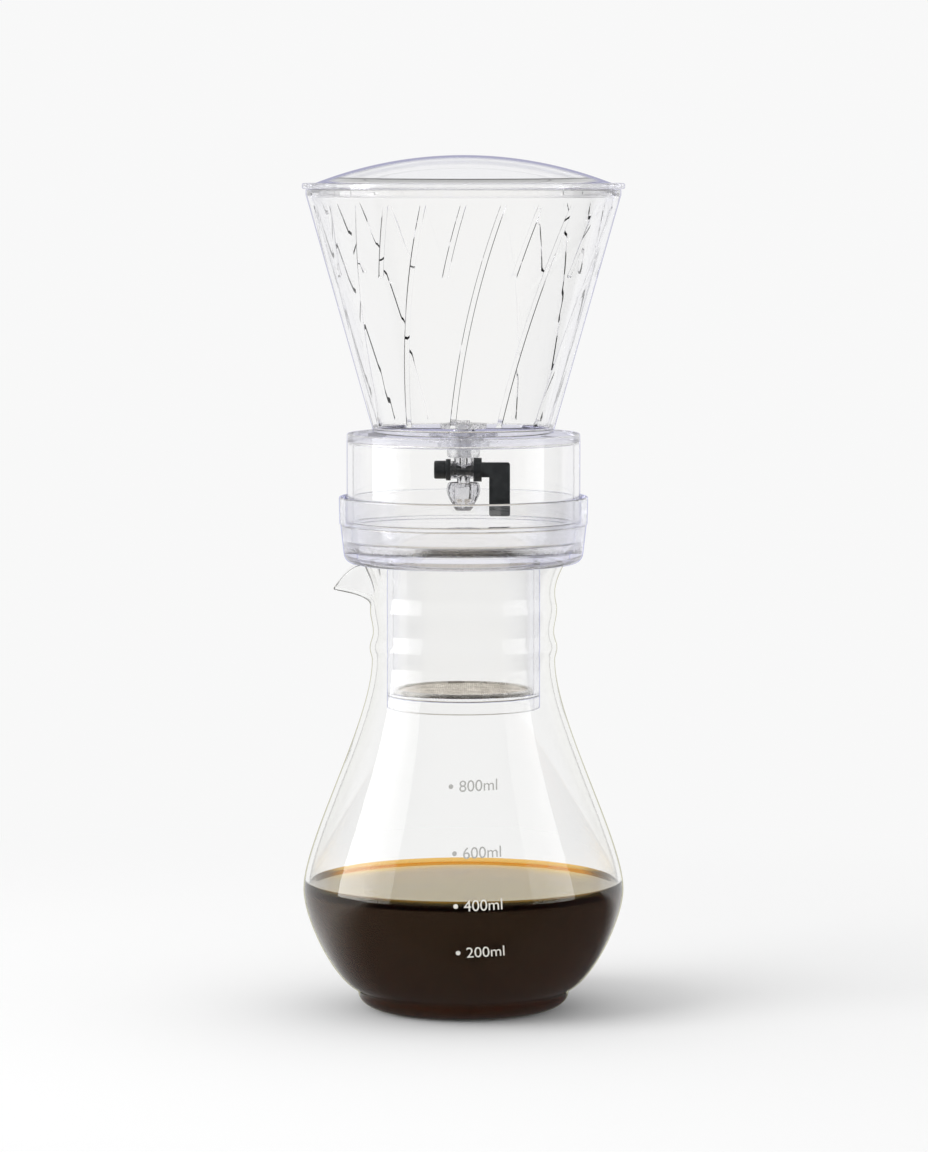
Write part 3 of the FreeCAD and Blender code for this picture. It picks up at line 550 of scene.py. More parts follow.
def pour_coffee():
    level = span("brewed_coffee")[1].z
    top = level + MENISCUS_RISE
    floor = GLASS_FLOOR - COFFEE_OVERLAP
    line = moved_in(carafe_line, GLASS_WALL - COFFEE_OVERLAP)
    side = [spot for spot in line if floor < spot[1] < top and spot[0] > FOOT_FLAT / 2]
    edge = side[-1][0]
    side[-1] = (edge, top)
    rest = (edge - MENISCUS_WIDTH, level)
    up_the_glass = (edge, level + 0.3 * MENISCUS_RISE)
    creep = bend(side[-1], up_the_glass, (edge - MENISCUS_REACH, level), rest, 8)
    flat = [(share * rest[0], level) for share in (1.0, 0.66, 0.33, 0.0)]
    floor_line = [(0.0, floor), (0.5 * FOOT_FLAT, floor), (0.9 * FOOT_FLAT, floor)]
    return spun(floor_line + side[:-1] + creep + flat, LARGE_COLUMNS, closed=False)


def coffee_material():
    """Cold brew lets red light through furthest. Its surface mirrors the room in amber. At
    the back, where its rim is thin, a back-lit amber glow is painted on, and its sides are
    painted dark as shade. A strip just under the surface mirrors less and is painted darker,
    as shade."""
    material, wire = new_material("cold_brew")
    spot = wire.node("TexCoord", output="Object")
    level = span("brewed_coffee")[1].z
    silt = wire.node("TexNoise", {"Vector": spot, "Scale": 60.0, "Detail": 4.0})
    silt = silt.between(0.4, 0.75)
    slant = wire.node("LayerWeight", {"Blend": 0.5}, output="Facing")
    place = wire.node("SeparateXYZ", {0: spot})
    top = place["Z"].between((level - MASK_EDGE) * MM, level * MM)
    shade_band_foot = level - SHADE_BAND_DEPTH
    # Painted shade: strip masks the band just under the surface that is painted dark.
    strip = place["Z"].between((shade_band_foot - SHADE_BAND_EDGE) * MM, shade_band_foot * MM)
    # Painted light: rim masks the back rim of the surface, where the back-lit amber glow is
    # painted.
    rim = spot.measure("LENGTH").between(*BACKLIT_RIM_REACH) * place["Y"].between(*BACKLIT_BACK_REACH)
    # Painted shade: side masks the surface's left and right ends, which are painted dark
    # brown.
    side = place["X"].maths("ABSOLUTE", place["X"]).between(*PAINTED_SIDE_SHADE_REACH)
    surface = rim.blend(silt.blend(SURFACE_COLOUR, SURFACE_SILT), PAINTED_BACKLIT_AMBER)
    surface = side.blend(surface, PAINTED_SIDE_SHADE)
    # The painted shade darkens the strip under the surface.
    depths = strip.blend(silt.blend(DEEP_COFFEE, SILTY_COFFEE), PAINTED_BAND_SHADE)
    # The painted back-lit glow also raises the surface's mirroring at the back rim.
    amber = top * (rim * BACKLIT_BOOST + 1) * slant.between(*SURFACE_ASLANT)
    sockets = {
        "Base Color": top.blend(depths, surface),
        "Metallic": amber * AMBER_MIRROR,
        "Roughness": 0.0,
        "IOR": COFFEE_IOR,
        "Transmission Weight": 0.945,
        "Specular Tint": (0.80, 0.74, 0.52, 1.0),
    }
    liquid = wire.node("BsdfPrincipled", sockets)
    bending = {"Color": BENT_AMBER, "Roughness": 0.0, "IOR": COFFEE_IOR}
    bent = wire.node("BsdfRefraction", bending)
    mirror = top + (1 - strip) * DEEP_MIRROR
    body = glossed(slant, COFFEE_ASLANT, mirror, bent, liquid)
    fill(wire, body, COFFEE_SHADE, KEPT_AMBER, COFFEE_DENSITY)
    return material


coffee = finished("cold_brew", pour_coffee(), coffee_material(), sharp=math.radians(50))
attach(coffee, "carafe")
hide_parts("brewed_coffee")

# ---------------------------------------------------------------------------------------
# Graduations. Pale enamel fired on the front of the glass: a dot at each 200 ml and its
# number beside it, all leaning a little to the left.

MARKS = ((200, 30.5, -2.0), (400, 49.0, -2.7), (600, 68.5, -3.4), (800, 93.0, -5.7))
DOT_RADIUS = 0.9
LETTER_HEIGHT = 4.2
LETTER_START = 3.0  # from the middle of the dot
LETTER_STRETCH = 1.02
MARK_LEAN = math.radians(2.4)
ENAMEL = 0.09
ENAMEL_GAP = 0.02  # between the glass's own facets and the enamel
PALE_ENAMEL = (0.70, 0.68, 0.62, 1.0), (0.84, 0.82, 0.75, 1.0)
# Painted shade: the marks above the coffee are painted this darker grey.
PAINTED_SHADE_ENAMEL = (0.38, 0.38, 0.36, 1.0), (0.46, 0.46, 0.44, 1.0)
PAINTED_SHADE_FROM = (0.055, 0.06)  # metres: above the coffee nothing dark is behind the marks, and they are painted darker grey, as shade


def radius_at(level):
    """The outside radius of the glass at a height."""
    for low, high in zip(carafe_line, carafe_line[1:]):
        if low[1] <= level < high[1]:
            share = (level - low[1]) / (high[1] - low[1])
            return low[0] + share * (high[0] - low[0])
    return RIM_RADIUS


def add_number(shape, text):
    """Adds flat lettering that starts beside the dot. Depth is along Z."""
    curve = bpy.data.curves.new("number", "FONT")
    curve.body = text
    curve.extrude = ENAMEL  # any depth will do, because the loop below sets it
    letters = new_object("number", curve)
    flat = bpy.data.meshes.new_from_object(letters)
    heights = [vert.co.y for vert in flat.vertices]
    scale = LETTER_HEIGHT / (max(heights) - min(heights))
    for vert in flat.vertices:
        depth = ENAMEL if vert.co.z > 0 else 0.0
        across = LETTER_START + vert.co.x * scale * LETTER_STRETCH
        vert.co = (across, (vert.co.y - min(heights)) * scale - LETTER_HEIGHT / 2, depth)
    shape.from_mesh(flat)
    bpy.data.objects.remove(letters)
    bpy.data.meshes.remove(flat)


def print_marks():
    marks = bmesh.new()
    for volume, level, azimuth in MARKS:
        flat = bmesh.new()
        bmesh.ops.create_circle(flat, cap_ends=True, radius=DOT_RADIUS, segments=24)
        raised = bmesh.ops.extrude_face_region(flat, geom=flat.faces[:])
        lifted = [item for item in raised["geom"] if isinstance(item, bmesh.types.BMVert)]
        bmesh.ops.translate(flat, verts=lifted, vec=(0, 0, ENAMEL))
        add_number(flat, f"{volume}ml")
        for vert in flat.verts:
            across = vert.co.x * math.cos(MARK_LEAN) - vert.co.y * math.sin(MARK_LEAN)
            up = level + vert.co.x * math.sin(MARK_LEAN) + vert.co.y * math.cos(MARK_LEAN)
            radius = radius_at(up)
            turn = math.radians(azimuth) + across / radius
            out = radius + ENAMEL_GAP + vert.co.z
            vert.co = Vector((out * math.sin(turn), -out * math.cos(turn), up)) * MM
        sheet = bpy.data.meshes.new("mark")
        bmesh.ops.recalc_face_normals(flat, faces=flat.faces)
        flat.to_mesh(sheet)
        flat.free()
        marks.from_mesh(sheet)
        bpy.data.meshes.remove(sheet)
    return marks


def coat(wire, sockets, height, strength, depth):
    """Ends a solid material, with a fine relief in its surface."""
    relief = wire.node("Bump", {"Height": height, "Strength": strength, "Distance": depth})
    skin = wire.node("BsdfPrincipled", {**sockets, "Normal": relief})
    wire.node("OutputMaterial", {"Surface": skin})


def enamel_material():
    material, wire = new_material("fired_enamel")
    spot = wire.node("TexCoord", output="Object")
    grain = wire.node("TexNoise", {"Vector": spot, "Scale": 1500.0, "Detail": 2.0})
    # Painted shade: above the coffee the enamel's colour turns to the darker grey.
    shaded_above_coffee = wire.node("SeparateXYZ", {0: spot}, output="Z").between(*PAINTED_SHADE_FROM)
    fired = grain.between(0.3, 0.7)
    colour = shaded_above_coffee.blend(fired.blend(*PALE_ENAMEL), fired.blend(*PAINTED_SHADE_ENAMEL))
    sockets = {"Base Color": colour, "Roughness": 0.35}
    coat(wire, sockets, grain, strength=0.25, depth=0.0001)
    return material


marks = finished("fired_graduations", print_marks(), enamel_material())
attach(marks, "carafe")
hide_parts("volume_marks")

# ---------------------------------------------------------------------------------------
# Brew cup. One clear moulding: a wide bowl that rests on the carafe's rim and a straight
# stem that hangs in its neck, with a small ledge inside for the filter.

EDGE_ROUND = 0.5
CUP_STEM = 29.85
CUP_BORE = 27.6
LEDGE_BORE = 24.5
LEDGE_FOOT = 4.6
LEDGE_TOP = 6.2
BOWL_FOOT = 46.3
BOWL_CORNER = 4.0
BOWL_EDGE = 0.9  # the rounding of the floor's edges
STEM_ROUND = 1.0
LIP_RADIUS = 45.85
LIP_BORE = 43.6
RECESS_RADIUS = 39.6
COVE, COVE_ROUND = 3.4, 1.6
SMALL_STEPS, LARGE_STEPS = 4, 10  # in a rounding under a millimetre, and in a larger one

cup_low, cup_high = span("brew_cup")
bowl_foot_level = span("carafe")[1].z
bowl_floor_level = span("plate_rim")[0].z
shoulder_level = span("collar_ring")[0].z


def rounded(*corners):
    """A closed outline through corners (across, up), round where one has a radius too.
    A point just past each rounding keeps the flat beside it flat in the shading."""
    points = []
    neighbours = zip(corners[-1:] + corners[:-1], corners, corners[1:] + corners[:1])
    for before, corner, after in neighbours:
        spot = Vector(corner[:2])
        if len(corner) == 2:
            points.append(tuple(spot))
            continue
        back = (Vector(before[:2]) - spot).normalized()
        on = (Vector(after[:2]) - spot).normalized()
        half = back.angle(on) / 2
        centre = spot + (back + on).normalized() * corner[2] / math.sin(half)
        first = spot + back * corner[2] / math.tan(half) - centre
        last = spot + on * corner[2] / math.tan(half) - centre
        steps = SMALL_STEPS if corner[2] < 1 else LARGE_STEPS
        past = 0.1 * corner[2]
        points.append(tuple(centre + first + back * past))
        for step in range(steps + 1):
            points.append(tuple(centre + first.slerp(last, step / steps) * corner[2]))
        points.append(tuple(centre + last + on * past))
    return points


def mould_cup():
    foot, top = cup_low.z, cup_high.z
    outline = rounded(
        (CUP_BORE, foot, EDGE_ROUND),
        (CUP_STEM, foot, EDGE_ROUND),
        (CUP_STEM, bowl_foot_level, STEM_ROUND),
        (BOWL_FOOT, bowl_foot_level, BOWL_CORNER),
        (cup_high.x, shoulder_level, EDGE_ROUND),
        (LIP_RADIUS, shoulder_level),
        (LIP_RADIUS, top, EDGE_ROUND),
        (LIP_BORE, top, EDGE_ROUND),
        (LIP_BORE, bowl_floor_level + COVE, COVE_ROUND),
        (RECESS_RADIUS, bowl_floor_level, BOWL_EDGE),
        (CUP_BORE, bowl_floor_level, BOWL_EDGE),
        (CUP_BORE, foot + LEDGE_TOP),
        (LEDGE_BORE, foot + LEDGE_TOP, EDGE_ROUND),
        (LEDGE_BORE, foot + LEDGE_FOOT, EDGE_ROUND),
        (CUP_BORE, foot + LEDGE_FOOT),
    )
    return spun(outline, LARGE_COLUMNS)


cup_plastic = clear_material(
    "cup_plastic",
    # painted shade for the outlines, in the material's own tint
    painted_edge_shade=(0.70, 0.71, 0.87, 1.0),
    absorbed=(2.6, 2.6, 1.0),
    ripple_size=0.03,
    unbent=(0.22, bowl_foot_level, cup_high.z),
)
cup = finished("moulded_cup", mould_cup(), cup_plastic)
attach(cup, "cup")
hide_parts("brew_cup")

# ---------------------------------------------------------------------------------------
# Collar. A clear ring welded round the bowl's lip, into which the drum above slips. The
# weld shows as a fine parting line.

COLLAR_BORE = 45.95
COLLAR_FOOT = 48.35

collar_low, collar_high = span("collar_ring")
collar_outline = rounded(
    (COLLAR_BORE, collar_low.z),
    (COLLAR_FOOT, collar_low.z, 0.3),
    (collar_high.x, collar_high.z, 0.7),
    (COLLAR_BORE, collar_high.z, 0.7),
)
collar_plastic = clear_material(
    "collar_plastic",
    # painted shade for the outlines, in the material's own tint
    painted_edge_shade=(0.76, 0.77, 0.88, 1.0),
    absorbed=(2.4, 2.4, 1.2),
    ripple_size=0.03,
    unbent=(0.08, collar_low.z, collar_high.z),
)
collar = finished("welded_collar", spun(collar_outline, LARGE_COLUMNS), collar_plastic)
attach(collar, "cup")
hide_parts("collar_ring")

# ---------------------------------------------------------------------------------------
# Filter and distribution plate. Each is a disc of stainless wire cloth, pressed flat and
# held in a folded steel rim. The filter's cloth is the finer one.

RIM_WIDTH = 2.0
RIM_FOLD, RIM_LIP = 0.5, 0.25  # roundings outside and at the bore
RIM_COLUMNS = 128
CLOTH_EDGE = 0.4  # how far the cloth ends inside its node, as a share of the pitch
CROSSING_RISE = 0.1  # as a share of the pitch
FLATTENED = 0.6  # the pressed wire's thickness, as a share of its width


def fold_rim(node, name, material):
    """A strip of steel folded over the edge of the cloth."""
    low, high = span(node)
    bore = high.x - RIM_WIDTH
    outline = rounded(
        (bore, low.z, RIM_LIP),
        (high.x, low.z, RIM_FOLD),
        (high.x, high.z, RIM_FOLD),
        (bore, high.z, RIM_LIP),
    )
    return finished(name, spun(outline, RIM_COLUMNS), material)


def weave_cloth(node, name, pitch, wire_width, material):
    """Plain weave: a square mesh whose crossings rise and sink in turn."""
    low, high = span(node)
    cells = math.ceil(high.x / pitch) + 1
    shape = bmesh.new()
    bmesh.ops.create_grid(
        shape, x_segments=2 * cells, y_segments=2 * cells, size=cells * pitch * MM
    )
    reach = (high.x - CLOTH_EDGE * pitch) * MM
    outside = [face for face in shape.faces if face.calc_center_median().length > reach]
    bmesh.ops.delete(shape, geom=outside, context="FACES")
    holes = shape.faces[:]
    for vert in shape.verts:
        row = round(vert.co.x / (pitch * MM)) + round(vert.co.y / (pitch * MM))
        vert.co.z = CROSSING_RISE * pitch * MM * (-1) ** row
    bmesh.ops.inset_individual(
        shape, faces=holes, thickness=wire_width / 2 * MM, use_even_offset=True
    )
    bmesh.ops.delete(shape, geom=holes, context="FACES")
    thickness = wire_width * FLATTENED * MM
    bmesh.ops.solidify(shape, geom=shape.faces[:], thickness=thickness)
    middle = 0.5 * (low.z + high.z) * MM
    bmesh.ops.translate(shape, verts=shape.verts, vec=(0, 0, middle))
    bmesh.ops.recalc_face_normals(shape, faces=shape.faces)
    return finished(name, shape, material)


def steel_material(name, dark, light, roughness, streak, metallic=1.0):
    """Stainless steel with the fine turned or drawn marks of its making."""
    material, wire = new_material(name)
    spot = wire.node("TexCoord", output="Object")
    stretched = wire.node("Mapping", {"Vector": spot, "Scale": (1.0, 1.0, streak)})
    grain = wire.node("TexNoise", {"Vector": stretched, "Scale": 900.0, "Detail": 3.0})
    patches = wire.node("TexNoise", {"Vector": spot, "Scale": 160.0, "Detail": 4.0})
    shade = grain * 0.5 + patches * 0.5
    sockets = {
        "Base Color": shade.between(0.35, 0.65).blend(dark, light),
        "Metallic": metallic,
        "Roughness": patches.between(0.2, 0.8) * 0.2 + roughness,
    }
    coat(wire, sockets, grain, strength=0.3, depth=0.0001)
    return material


rim_steel = steel_material(
    "folded_steel",
    (0.38, 0.36, 0.33, 1.0),
    (0.72, 0.70, 0.66, 1.0),
    roughness=0.18,
    streak=12.0,
)
cloth_steel = steel_material(
    "woven_steel",
    (0.54, 0.49, 0.42, 1.0),
    (0.95, 0.90, 0.82, 1.0),
    roughness=0.4,
    streak=1.0,
    metallic=0.25,
)
for part, cloth_node, pitch, wire_width in (
    ("filter", "filter_screen", 0.8, 0.34),
    ("plate", "distribution_plate", 1.25, 0.6),
):
    rim = fold_rim(f"{part}_rim", f"folded_{part}_rim", rim_steel)
    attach(rim, part)
    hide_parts(f"{part}_rim")
    cloth = weave_cloth(cloth_node, f"woven_{part}_cloth", pitch, wire_width, cloth_steel)
    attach(cloth, part)
    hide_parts(cloth_node)

# ---------------------------------------------------------------------------------------
# Valve housing. A clear moulded drum, open below, that slips into the collar and carries
# the tank on its thick top deck.

HOUSING_BORE = 43.2
DECK_HOLE = 9.1
DECK_ROUND = 1.2  # inside, between the deck and the wall
DRUM_ROUND = 0.7

drum_low, drum_high = span("valve_housing")
deck_foot_level = span("water_tank")[0].z
drum_outline = rounded(
    (HOUSING_BORE, drum_low.z, EDGE_ROUND),
    (drum_high.x, drum_low.z, EDGE_ROUND),
    (drum_high.x, drum_high.z, DRUM_ROUND),
    (DECK_HOLE, drum_high.z),
    (DECK_HOLE, deck_foot_level),
    (HOUSING_BORE, deck_foot_level, DECK_ROUND),
)
drum_plastic = clear_material(
    "drum_plastic",
    # painted shade for the outlines, in the material's own tint
    painted_edge_shade=(0.78, 0.78, 0.86, 1.0),
    absorbed=(2.2, 2.2, 1.4),
    unbent=(0.4, deck_foot_level, drum_high.z),
)
drum = finished("moulded_drum", spun(drum_outline, LARGE_COLUMNS), drum_plastic)
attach(drum, "tank")
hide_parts("valve_housing")

# ---------------------------------------------------------------------------------------
# Water tank. A clear moulded cone with spiral ribs standing on its inside, long and short
# in turn, and a boss in the floor that passes through the drum's deck.

tank_high = span("water_tank")[1]
TANK_BASE = (35.0, drum_high.z)
TANK_FLOOR = 2.0
TANK_LIP = 2.6  # the height of the step at the mouth
TANK_CONE = (61.1, tank_high.z - TANK_LIP)
TANK_MOUTH = 59.66
TANK_SUMP = (33.38, TANK_BASE[1] + TANK_FLOOR)
CONE_ROWS = 24
NECK_HOLE = 5.05
BOSS_RADIUS = 9.0
TANK_ROUND, MOUTH_ROUND, STEP_ROUND, BOSS_ROUND = 1.0, 0.6, 0.08, 0.4
RIB_PAIRS = 12
RIB_COLUMNS = 8  # columns of the mesh from one rib to the next
RIB_TOP = 315.0
RIB_FOOT = 229.5
SHORT_LENGTH, SHORT_TURN = 28.0, 8.0
LONG_LENGTH, LONG_TURN = 87.8, 22.5
RIB_ROOT_WIDTH = 2.3
RIB_CREST_WIDTH = 1.9
RIB_HEIGHT = 0.42
RIB_RUN_OUT = 1.0  # slope at each end of a rib
RIB_END = 1.0  # a row this near the end of a rib is its last
ABOVE_RIBS = 1.5
SHORT_ROWS, LONG_ROWS = 8, 26
FIRST_RIB = -45.0  # degrees from the front towards the right, at the top
RIB_PITCH = 360 / (2 * RIB_PAIRS)


def rib_turn(up):
    """How far a rib has turned, in degrees, at a height. It eases off towards the foot."""
    depth = max(0.0, RIB_TOP - up)
    easing = LONG_TURN / LONG_LENGTH - SHORT_TURN / SHORT_LENGTH
    easing /= LONG_LENGTH - SHORT_LENGTH
    return (SHORT_TURN / SHORT_LENGTH + easing * (depth - SHORT_LENGTH)) * depth


def wind_columns(shape):
    """Turns the mesh's columns so that two of them run along each rib's foot."""
    step = 360 / (2 * RIB_PAIRS * RIB_COLUMNS)
    for vert in shape.verts:
        across = math.hypot(vert.co.x, vert.co.y) / MM
        column = round(math.degrees(math.atan2(vert.co.y, vert.co.x)) / step)
        rib, local = divmod(column, RIB_COLUMNS)
        half = math.degrees(RIB_ROOT_WIDTH / 2 / max(across, TANK_SUMP[0]))
        free = (RIB_PITCH - 2 * half) / (RIB_COLUMNS - 1)
        place = half + (local - 1) * free if local else -half
        up = vert.co.z / MM
        azimuth = math.radians(FIRST_RIB + rib * RIB_PITCH + place - rib_turn(up))
        spot = (across * math.sin(azimuth), -across * math.cos(azimuth), up)
        vert.co = Vector(spot) * MM


def rib_under(spot):
    """The number of the nearest rib to a place, and how far it is from it in degrees."""
    azimuth = math.degrees(math.atan2(spot.x, -spot.y)) + rib_turn(spot.z / MM) - FIRST_RIB
    rib = round(azimuth / RIB_PITCH)
    return rib, azimuth - rib * RIB_PITCH


def stands_rib(face):
    """Whether a face of the inner wall lies under a rib."""
    spot = face.calc_center_median()
    up = spot.z / MM
    outwards = Vector((spot.x, spot.y, 0)).normalized()
    faces_axis = face.normal.dot(outwards) < -0.5
    if not faces_axis or not RIB_FOOT < up < RIB_TOP:
        return False
    rib, offset = rib_under(spot)
    width = math.degrees(RIB_ROOT_WIDTH / 2 / (math.hypot(spot.x, spot.y) / MM))
    long_enough = up > RIB_TOP - SHORT_LENGTH if rib % 2 else True
    return abs(offset) < 0.8 * width and long_enough


def raise_ribs(shape):
    """Extrudes the ribs from the inner wall and narrows them towards the crest. The wall
    under them goes, so that no face is left inside the plastic."""
    under = [face for face in shape.faces if stands_rib(face)]
    grown = bmesh.ops.extrude_face_region(shape, geom=under)
    bmesh.ops.delete(shape, geom=under, context="FACES")
    crest = {item for item in grown["geom"] if isinstance(item, bmesh.types.BMVert)}
    for vert in crest:
        rib, offset = rib_under(vert.co)
        across = math.hypot(vert.co.x, vert.co.y) / MM
        up = vert.co.z / MM
        centre = FIRST_RIB + rib * RIB_PITCH
        foot = RIB_TOP - SHORT_LENGTH if rib % 2 else RIB_FOOT
        inwards = across - RIB_HEIGHT
        half = math.copysign(math.degrees(RIB_CREST_WIDTH / 2 / inwards), offset)
        if up > RIB_TOP - RIB_END:
            up -= RIB_RUN_OUT
        elif up < foot + RIB_END:
            up += RIB_RUN_OUT
        azimuth = math.radians(centre + half - rib_turn(up))
        spot = (inwards * math.sin(azimuth), -inwards * math.cos(azimuth), up)
        vert.co = Vector(spot) * MM


def straight(start, finish, pieces):
    """The points that cut a straight side into pieces, without its ends."""
    first, last = Vector(start), Vector(finish)
    return [tuple(first.lerp(last, step / pieces)) for step in range(1, pieces)]


def rib_levels():
    """The heights of the inner wall's rows, down from just above the ribs."""
    short_foot = RIB_TOP - SHORT_LENGTH
    levels = [RIB_TOP + ABOVE_RIBS, RIB_TOP]
    stretches = (RIB_TOP, short_foot, SHORT_ROWS), (short_foot, RIB_FOOT, LONG_ROWS)
    for top, foot, rows in stretches:
        levels += [top - (top - foot) * row / rows for row in range(1, rows + 1)]
    return levels


def mould_tank():
    top = tank_high
    slope = (TANK_MOUTH - TANK_SUMP[0]) / (top.z - TANK_SUMP[1])
    inner = [(TANK_MOUTH - slope * (top.z - level), level) for level in rib_levels()]
    outline = rounded(
        (NECK_HOLE, deck_foot_level),
        (BOSS_RADIUS, deck_foot_level, BOSS_ROUND),
        (BOSS_RADIUS, TANK_BASE[1]),
        (*TANK_BASE, TANK_ROUND),
        *straight(TANK_BASE, TANK_CONE, CONE_ROWS),
        TANK_CONE,
        (top.x, TANK_CONE[1], STEP_ROUND),
        (top.x, top.z, MOUTH_ROUND),
        (TANK_MOUTH, top.z, MOUTH_ROUND),
        *inner,
        (*TANK_SUMP, TANK_ROUND),
        (NECK_HOLE, TANK_SUMP[1]),
    )
    shape = spun(outline, 2 * RIB_PAIRS * RIB_COLUMNS)
    wind_columns(shape)
    shape.normal_update()
    raise_ribs(shape)
    bmesh.ops.recalc_face_normals(shape, faces=shape.faces)
    return shape


tank_plastic = clear_material(
    "tank_plastic",
    # painted shade for the outlines, in the material's own tint
    painted_edge_shade=(0.78, 0.78, 0.86, 1.0),
    absorbed=(2.2, 2.2, 1.4),
    unbent=(0.25, TANK_CONE[1], tank_high.z),
)
tank = finished("ribbed_tank", mould_tank(), tank_plastic)
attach(tank, "tank")
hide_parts("water_tank")

# ---------------------------------------------------------------------------------------
# Lid. A shallow clear dome with a thick flange that rests on the tank's rim, and a short
# skirt that keeps it centred.

lid_low, lid_high = span("lid")
LID_SEAT_LEVEL = tank_high.z
LID_FLANGE_LEVEL = LID_SEAT_LEVEL + 2.3
FLANGE_ROUND, SKIRT_ROUND = 0.7, 0.4
DOME_RADIUS = 57.5
DOME_CURVE = 158.47
DOME_MIDDLE = lid_high.z - DOME_CURVE
DOME_ROWS = 20
LID_WALL = 2.0
INNER_REACH = 52.6  # where the dome's inside meets the flat under its rim
SKIRT_RADIUS = 58.04
SKIRT_BORE = 56.24


def dome_line(curve, reach):
    """Points on a dome's arc from the axis out to a reach."""
    widest = math.asin(reach / curve)
    angles = [widest * step / DOME_ROWS for step in range(DOME_ROWS + 1)]
    return [(curve * math.sin(a), DOME_MIDDLE + curve * math.cos(a)) for a in angles]


def mould_lid():
    outer = dome_line(DOME_CURVE, DOME_RADIUS)[::-1]
    inner = dome_line(DOME_CURVE - LID_WALL, INNER_REACH)
    base = rounded(
        inner[-1],
        (SKIRT_BORE, inner[-1][1], 0.2),
        (SKIRT_BORE, lid_low.z, SKIRT_ROUND),
        (SKIRT_RADIUS, lid_low.z, SKIRT_ROUND),
        (SKIRT_RADIUS, LID_SEAT_LEVEL),
        (lid_high.x, LID_SEAT_LEVEL, FLANGE_ROUND),
        (lid_high.x, LID_FLANGE_LEVEL, FLANGE_ROUND),
        outer[0],
    )
    return spun(inner + base[1:-1] + outer, LARGE_COLUMNS, closed=False)


lid_plastic = clear_material(
    "lid_plastic",
    # painted shade for the outlines, in the material's own tint
    painted_edge_shade=(0.70, 0.70, 0.79, 1.0),
    absorbed=(3.5, 3.5, 2.0),
    body=(0.999, 0.998, 0.992, 1.0),
    unbent=(0.45, LID_SEAT_LEVEL, LID_FLANGE_LEVEL),
)
lid = finished("domed_lid", mould_lid(), lid_plastic)
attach(lid, "lid")
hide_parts("lid")

# ---------------------------------------------------------------------------------------
# Valve bushing. Translucent silicone, pushed through the hole in the tank's floor. It
# grips the stopcock's tube.

TUBE_HOLE = 2.55
BUSHING_FOOT = 6.25
BUSHING_HEAD = 6.8
BUSHING_NECK = 5.0
BUSHING_FLANGE = 2.0
BUSHING_COLUMNS = 72


def silicone_material():
    material, wire = new_material("frosted_silicone")
    spot = wire.node("TexCoord", output="Object")
    specks = wire.node("TexVoronoi", {"Vector": spot, "Scale": 900.0}, output="Distance")
    cloud = wire.node("TexNoise", {"Vector": spot, "Scale": 350.0, "Detail": 3.0})
    sockets = {
        "Base Color": cloud.between(0.3, 0.7).blend((0.82, 0.82, 0.85, 1.0), grey(0.99)),
        "Roughness": specks.between(0.1, 0.6) * 0.3 + 0.04,
        "IOR": 1.41,
        "Transmission Weight": 0.92,
    }
    coat(wire, sockets, specks, strength=0.4, depth=0.0003)
    return material


bushing_low, bushing_high = span("valve_bushing")
flange_foot = bushing_high.z - BUSHING_FLANGE
bushing_outline = rounded(
    (TUBE_HOLE, bushing_low.z),
    (BUSHING_FOOT, bushing_low.z, 0.7),
    (BUSHING_HEAD, deck_foot_level, 0.5),
    (BUSHING_NECK, deck_foot_level, 0.3),
    (BUSHING_NECK, flange_foot, 0.3),
    (bushing_high.x, flange_foot, 0.5),
    (bushing_high.x, bushing_high.z, 0.7),
    (TUBE_HOLE, bushing_high.z),
)
bushing = finished(
    "silicone_bushing", spun(bushing_outline, BUSHING_COLUMNS), silicone_material()
)
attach(bushing, "tank")
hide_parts("valve_bushing")

# ---------------------------------------------------------------------------------------
# Valve body and drip nozzle. Clear polycarbonate: an upright tube with a level barrel
# across it, and a hollow egg pushed on the tube's outlet.

CAD_SAME_SPOT = 0.001
FLAT_ANGLE, EDGE_ANGLE = math.radians(1), math.radians(40)
NOZZLE_TIP = 2.9
NOZZLE_BORE = 0.9
NOZZLE_FACETS, NOZZLE_SHARP = 14, math.radians(22)
EGG_WIDEST, INLET_FOOT, BORE_TOP = 0.72, 0.45, 0.25  # heights as shares of the nozzle's


def cad_copy(node, name, rounding, material):
    """A CAD node's shape with its triangles joined up and its sharp edges eased."""
    shape = bmesh.new()
    shape.from_mesh(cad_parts[node].data)
    bmesh.ops.remove_doubles(shape, verts=shape.verts, dist=CAD_SAME_SPOT * MM)
    bmesh.ops.dissolve_limit(
        shape, angle_limit=FLAT_ANGLE, verts=shape.verts, edges=shape.edges
    )
    edges = [
        edge
        for edge in shape.edges
        if len(edge.link_faces) == 2 and edge.calc_face_angle() > EDGE_ANGLE
    ]
    if rounding:
        ease_edges(shape, edges, rounding, segments=2)
    return finished(name, shape, material)


valve_plastic = clear_material(
    "valve_plastic",
    # painted shade for the outlines, in the material's own tint
    painted_edge_shade=(0.55, 0.55, 0.57, 1.0),
    absorbed=(30.0, 30.0, 26.0),
    ior=1.56,
    body=(0.95, 0.95, 0.955, 1.0),
    ripple=0.25,
    ripple_size=0.0016,
    haze=0.1,
    mirror=1.0,
)
valve_body = cad_copy("valve_body", "clear_stopcock", 0.0, valve_plastic)
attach(valve_body, "tank")
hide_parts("valve_body")


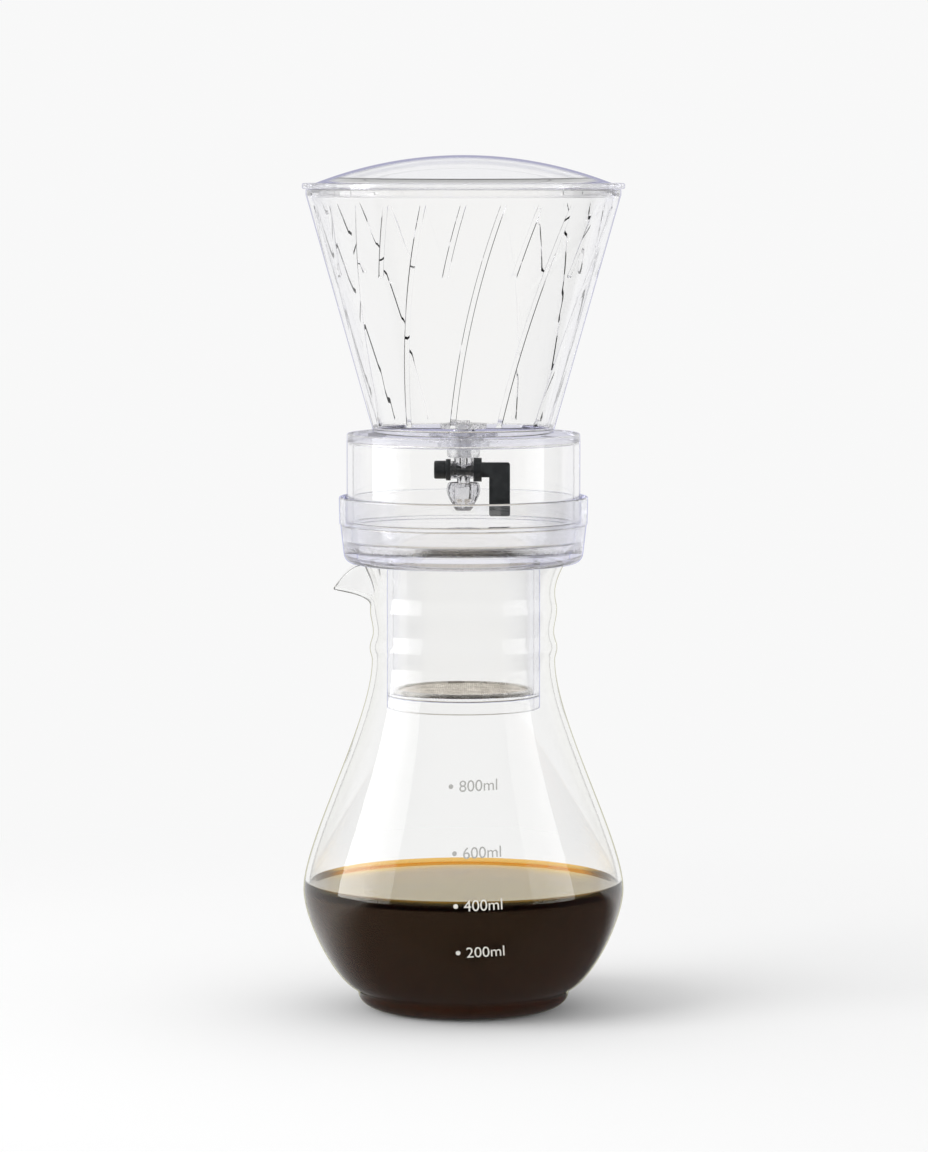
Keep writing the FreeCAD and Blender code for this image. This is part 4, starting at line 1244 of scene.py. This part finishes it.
def blow_egg():
    """Its curves' pulls are shares of its width and height."""
    low, high = span("drip_nozzle")
    foot, top = low.z, high.z
    wide, tall = high.x, top - foot
    widest = (wide, foot + EGG_WIDEST * tall)
    side_low, side_high = (0.62 * wide, foot + 0.16 * tall), (0.96 * wide, foot + 0.42 * tall)
    crown = (0.82 * wide, top)
    outline = bend((NOZZLE_TIP, foot), side_low, side_high, widest, 10)
    outline += bend(widest, (wide, top - 0.12 * tall), (0.94 * wide, top), crown, 8)
    outline += [crown, (TUBE_HOLE, top), (TUBE_HOLE, foot + INLET_FOOT * tall)]
    outline += [(NOZZLE_BORE, foot + BORE_TOP * tall), (NOZZLE_BORE, foot)]
    return spun(outline, NOZZLE_FACETS)


nozzle = finished("egg_nozzle", blow_egg(), valve_plastic, sharp=NOZZLE_SHARP)
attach(nozzle, "tank")
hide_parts("drip_nozzle")

# ---------------------------------------------------------------------------------------
# Plug, lever, washer and cap. Satin black moulded plastic. The plug runs through the
# barrel, the L-shaped lever turns it, and the washer and cap hold it from the left.


def black_material(name, colour, rubbed, roughness):
    material, wire = new_material(name)
    spot = wire.node("TexCoord", output="Object")
    grain = wire.node("TexNoise", {"Vector": spot, "Scale": 1400.0, "Detail": 3.0})
    patches = wire.node("TexNoise", {"Vector": spot, "Scale": 220.0, "Detail": 4.0})
    sockets = {
        "Base Color": patches.between(0.45, 0.8).blend(colour, rubbed),
        "Roughness": patches.between(0.3, 0.8) * 0.18 + roughness,
        "Specular IOR Level": 0.4,
    }
    coat(wire, sockets, grain, strength=0.25, depth=0.0001)
    return material


black_plastic = black_material(
    "satin_black", (0.012, 0.014, 0.016, 1.0), (0.03, 0.033, 0.036, 1.0), roughness=0.3
)
rubber = black_material("ring_rubber", grey(0.015), grey(0.04), roughness=0.5)
for node, name, rounding, slot, material in (
    ("valve_plug", "black_plug", 0.15, "black_plastic", black_plastic),
    ("plug_seals", "rubber_rings", 0.0, "seal_rubber", rubber),
    ("valve_lever", "black_lever", 0.8, "black_plastic", black_plastic),
    ("cap_washer", "black_washer", 0.3, "black_plastic", black_plastic),
    ("valve_cap", "black_cap", 0.2, "black_plastic", black_plastic),
):
    piece = cad_copy(node, name, rounding, material)
    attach(piece, "tap")
    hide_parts(node)
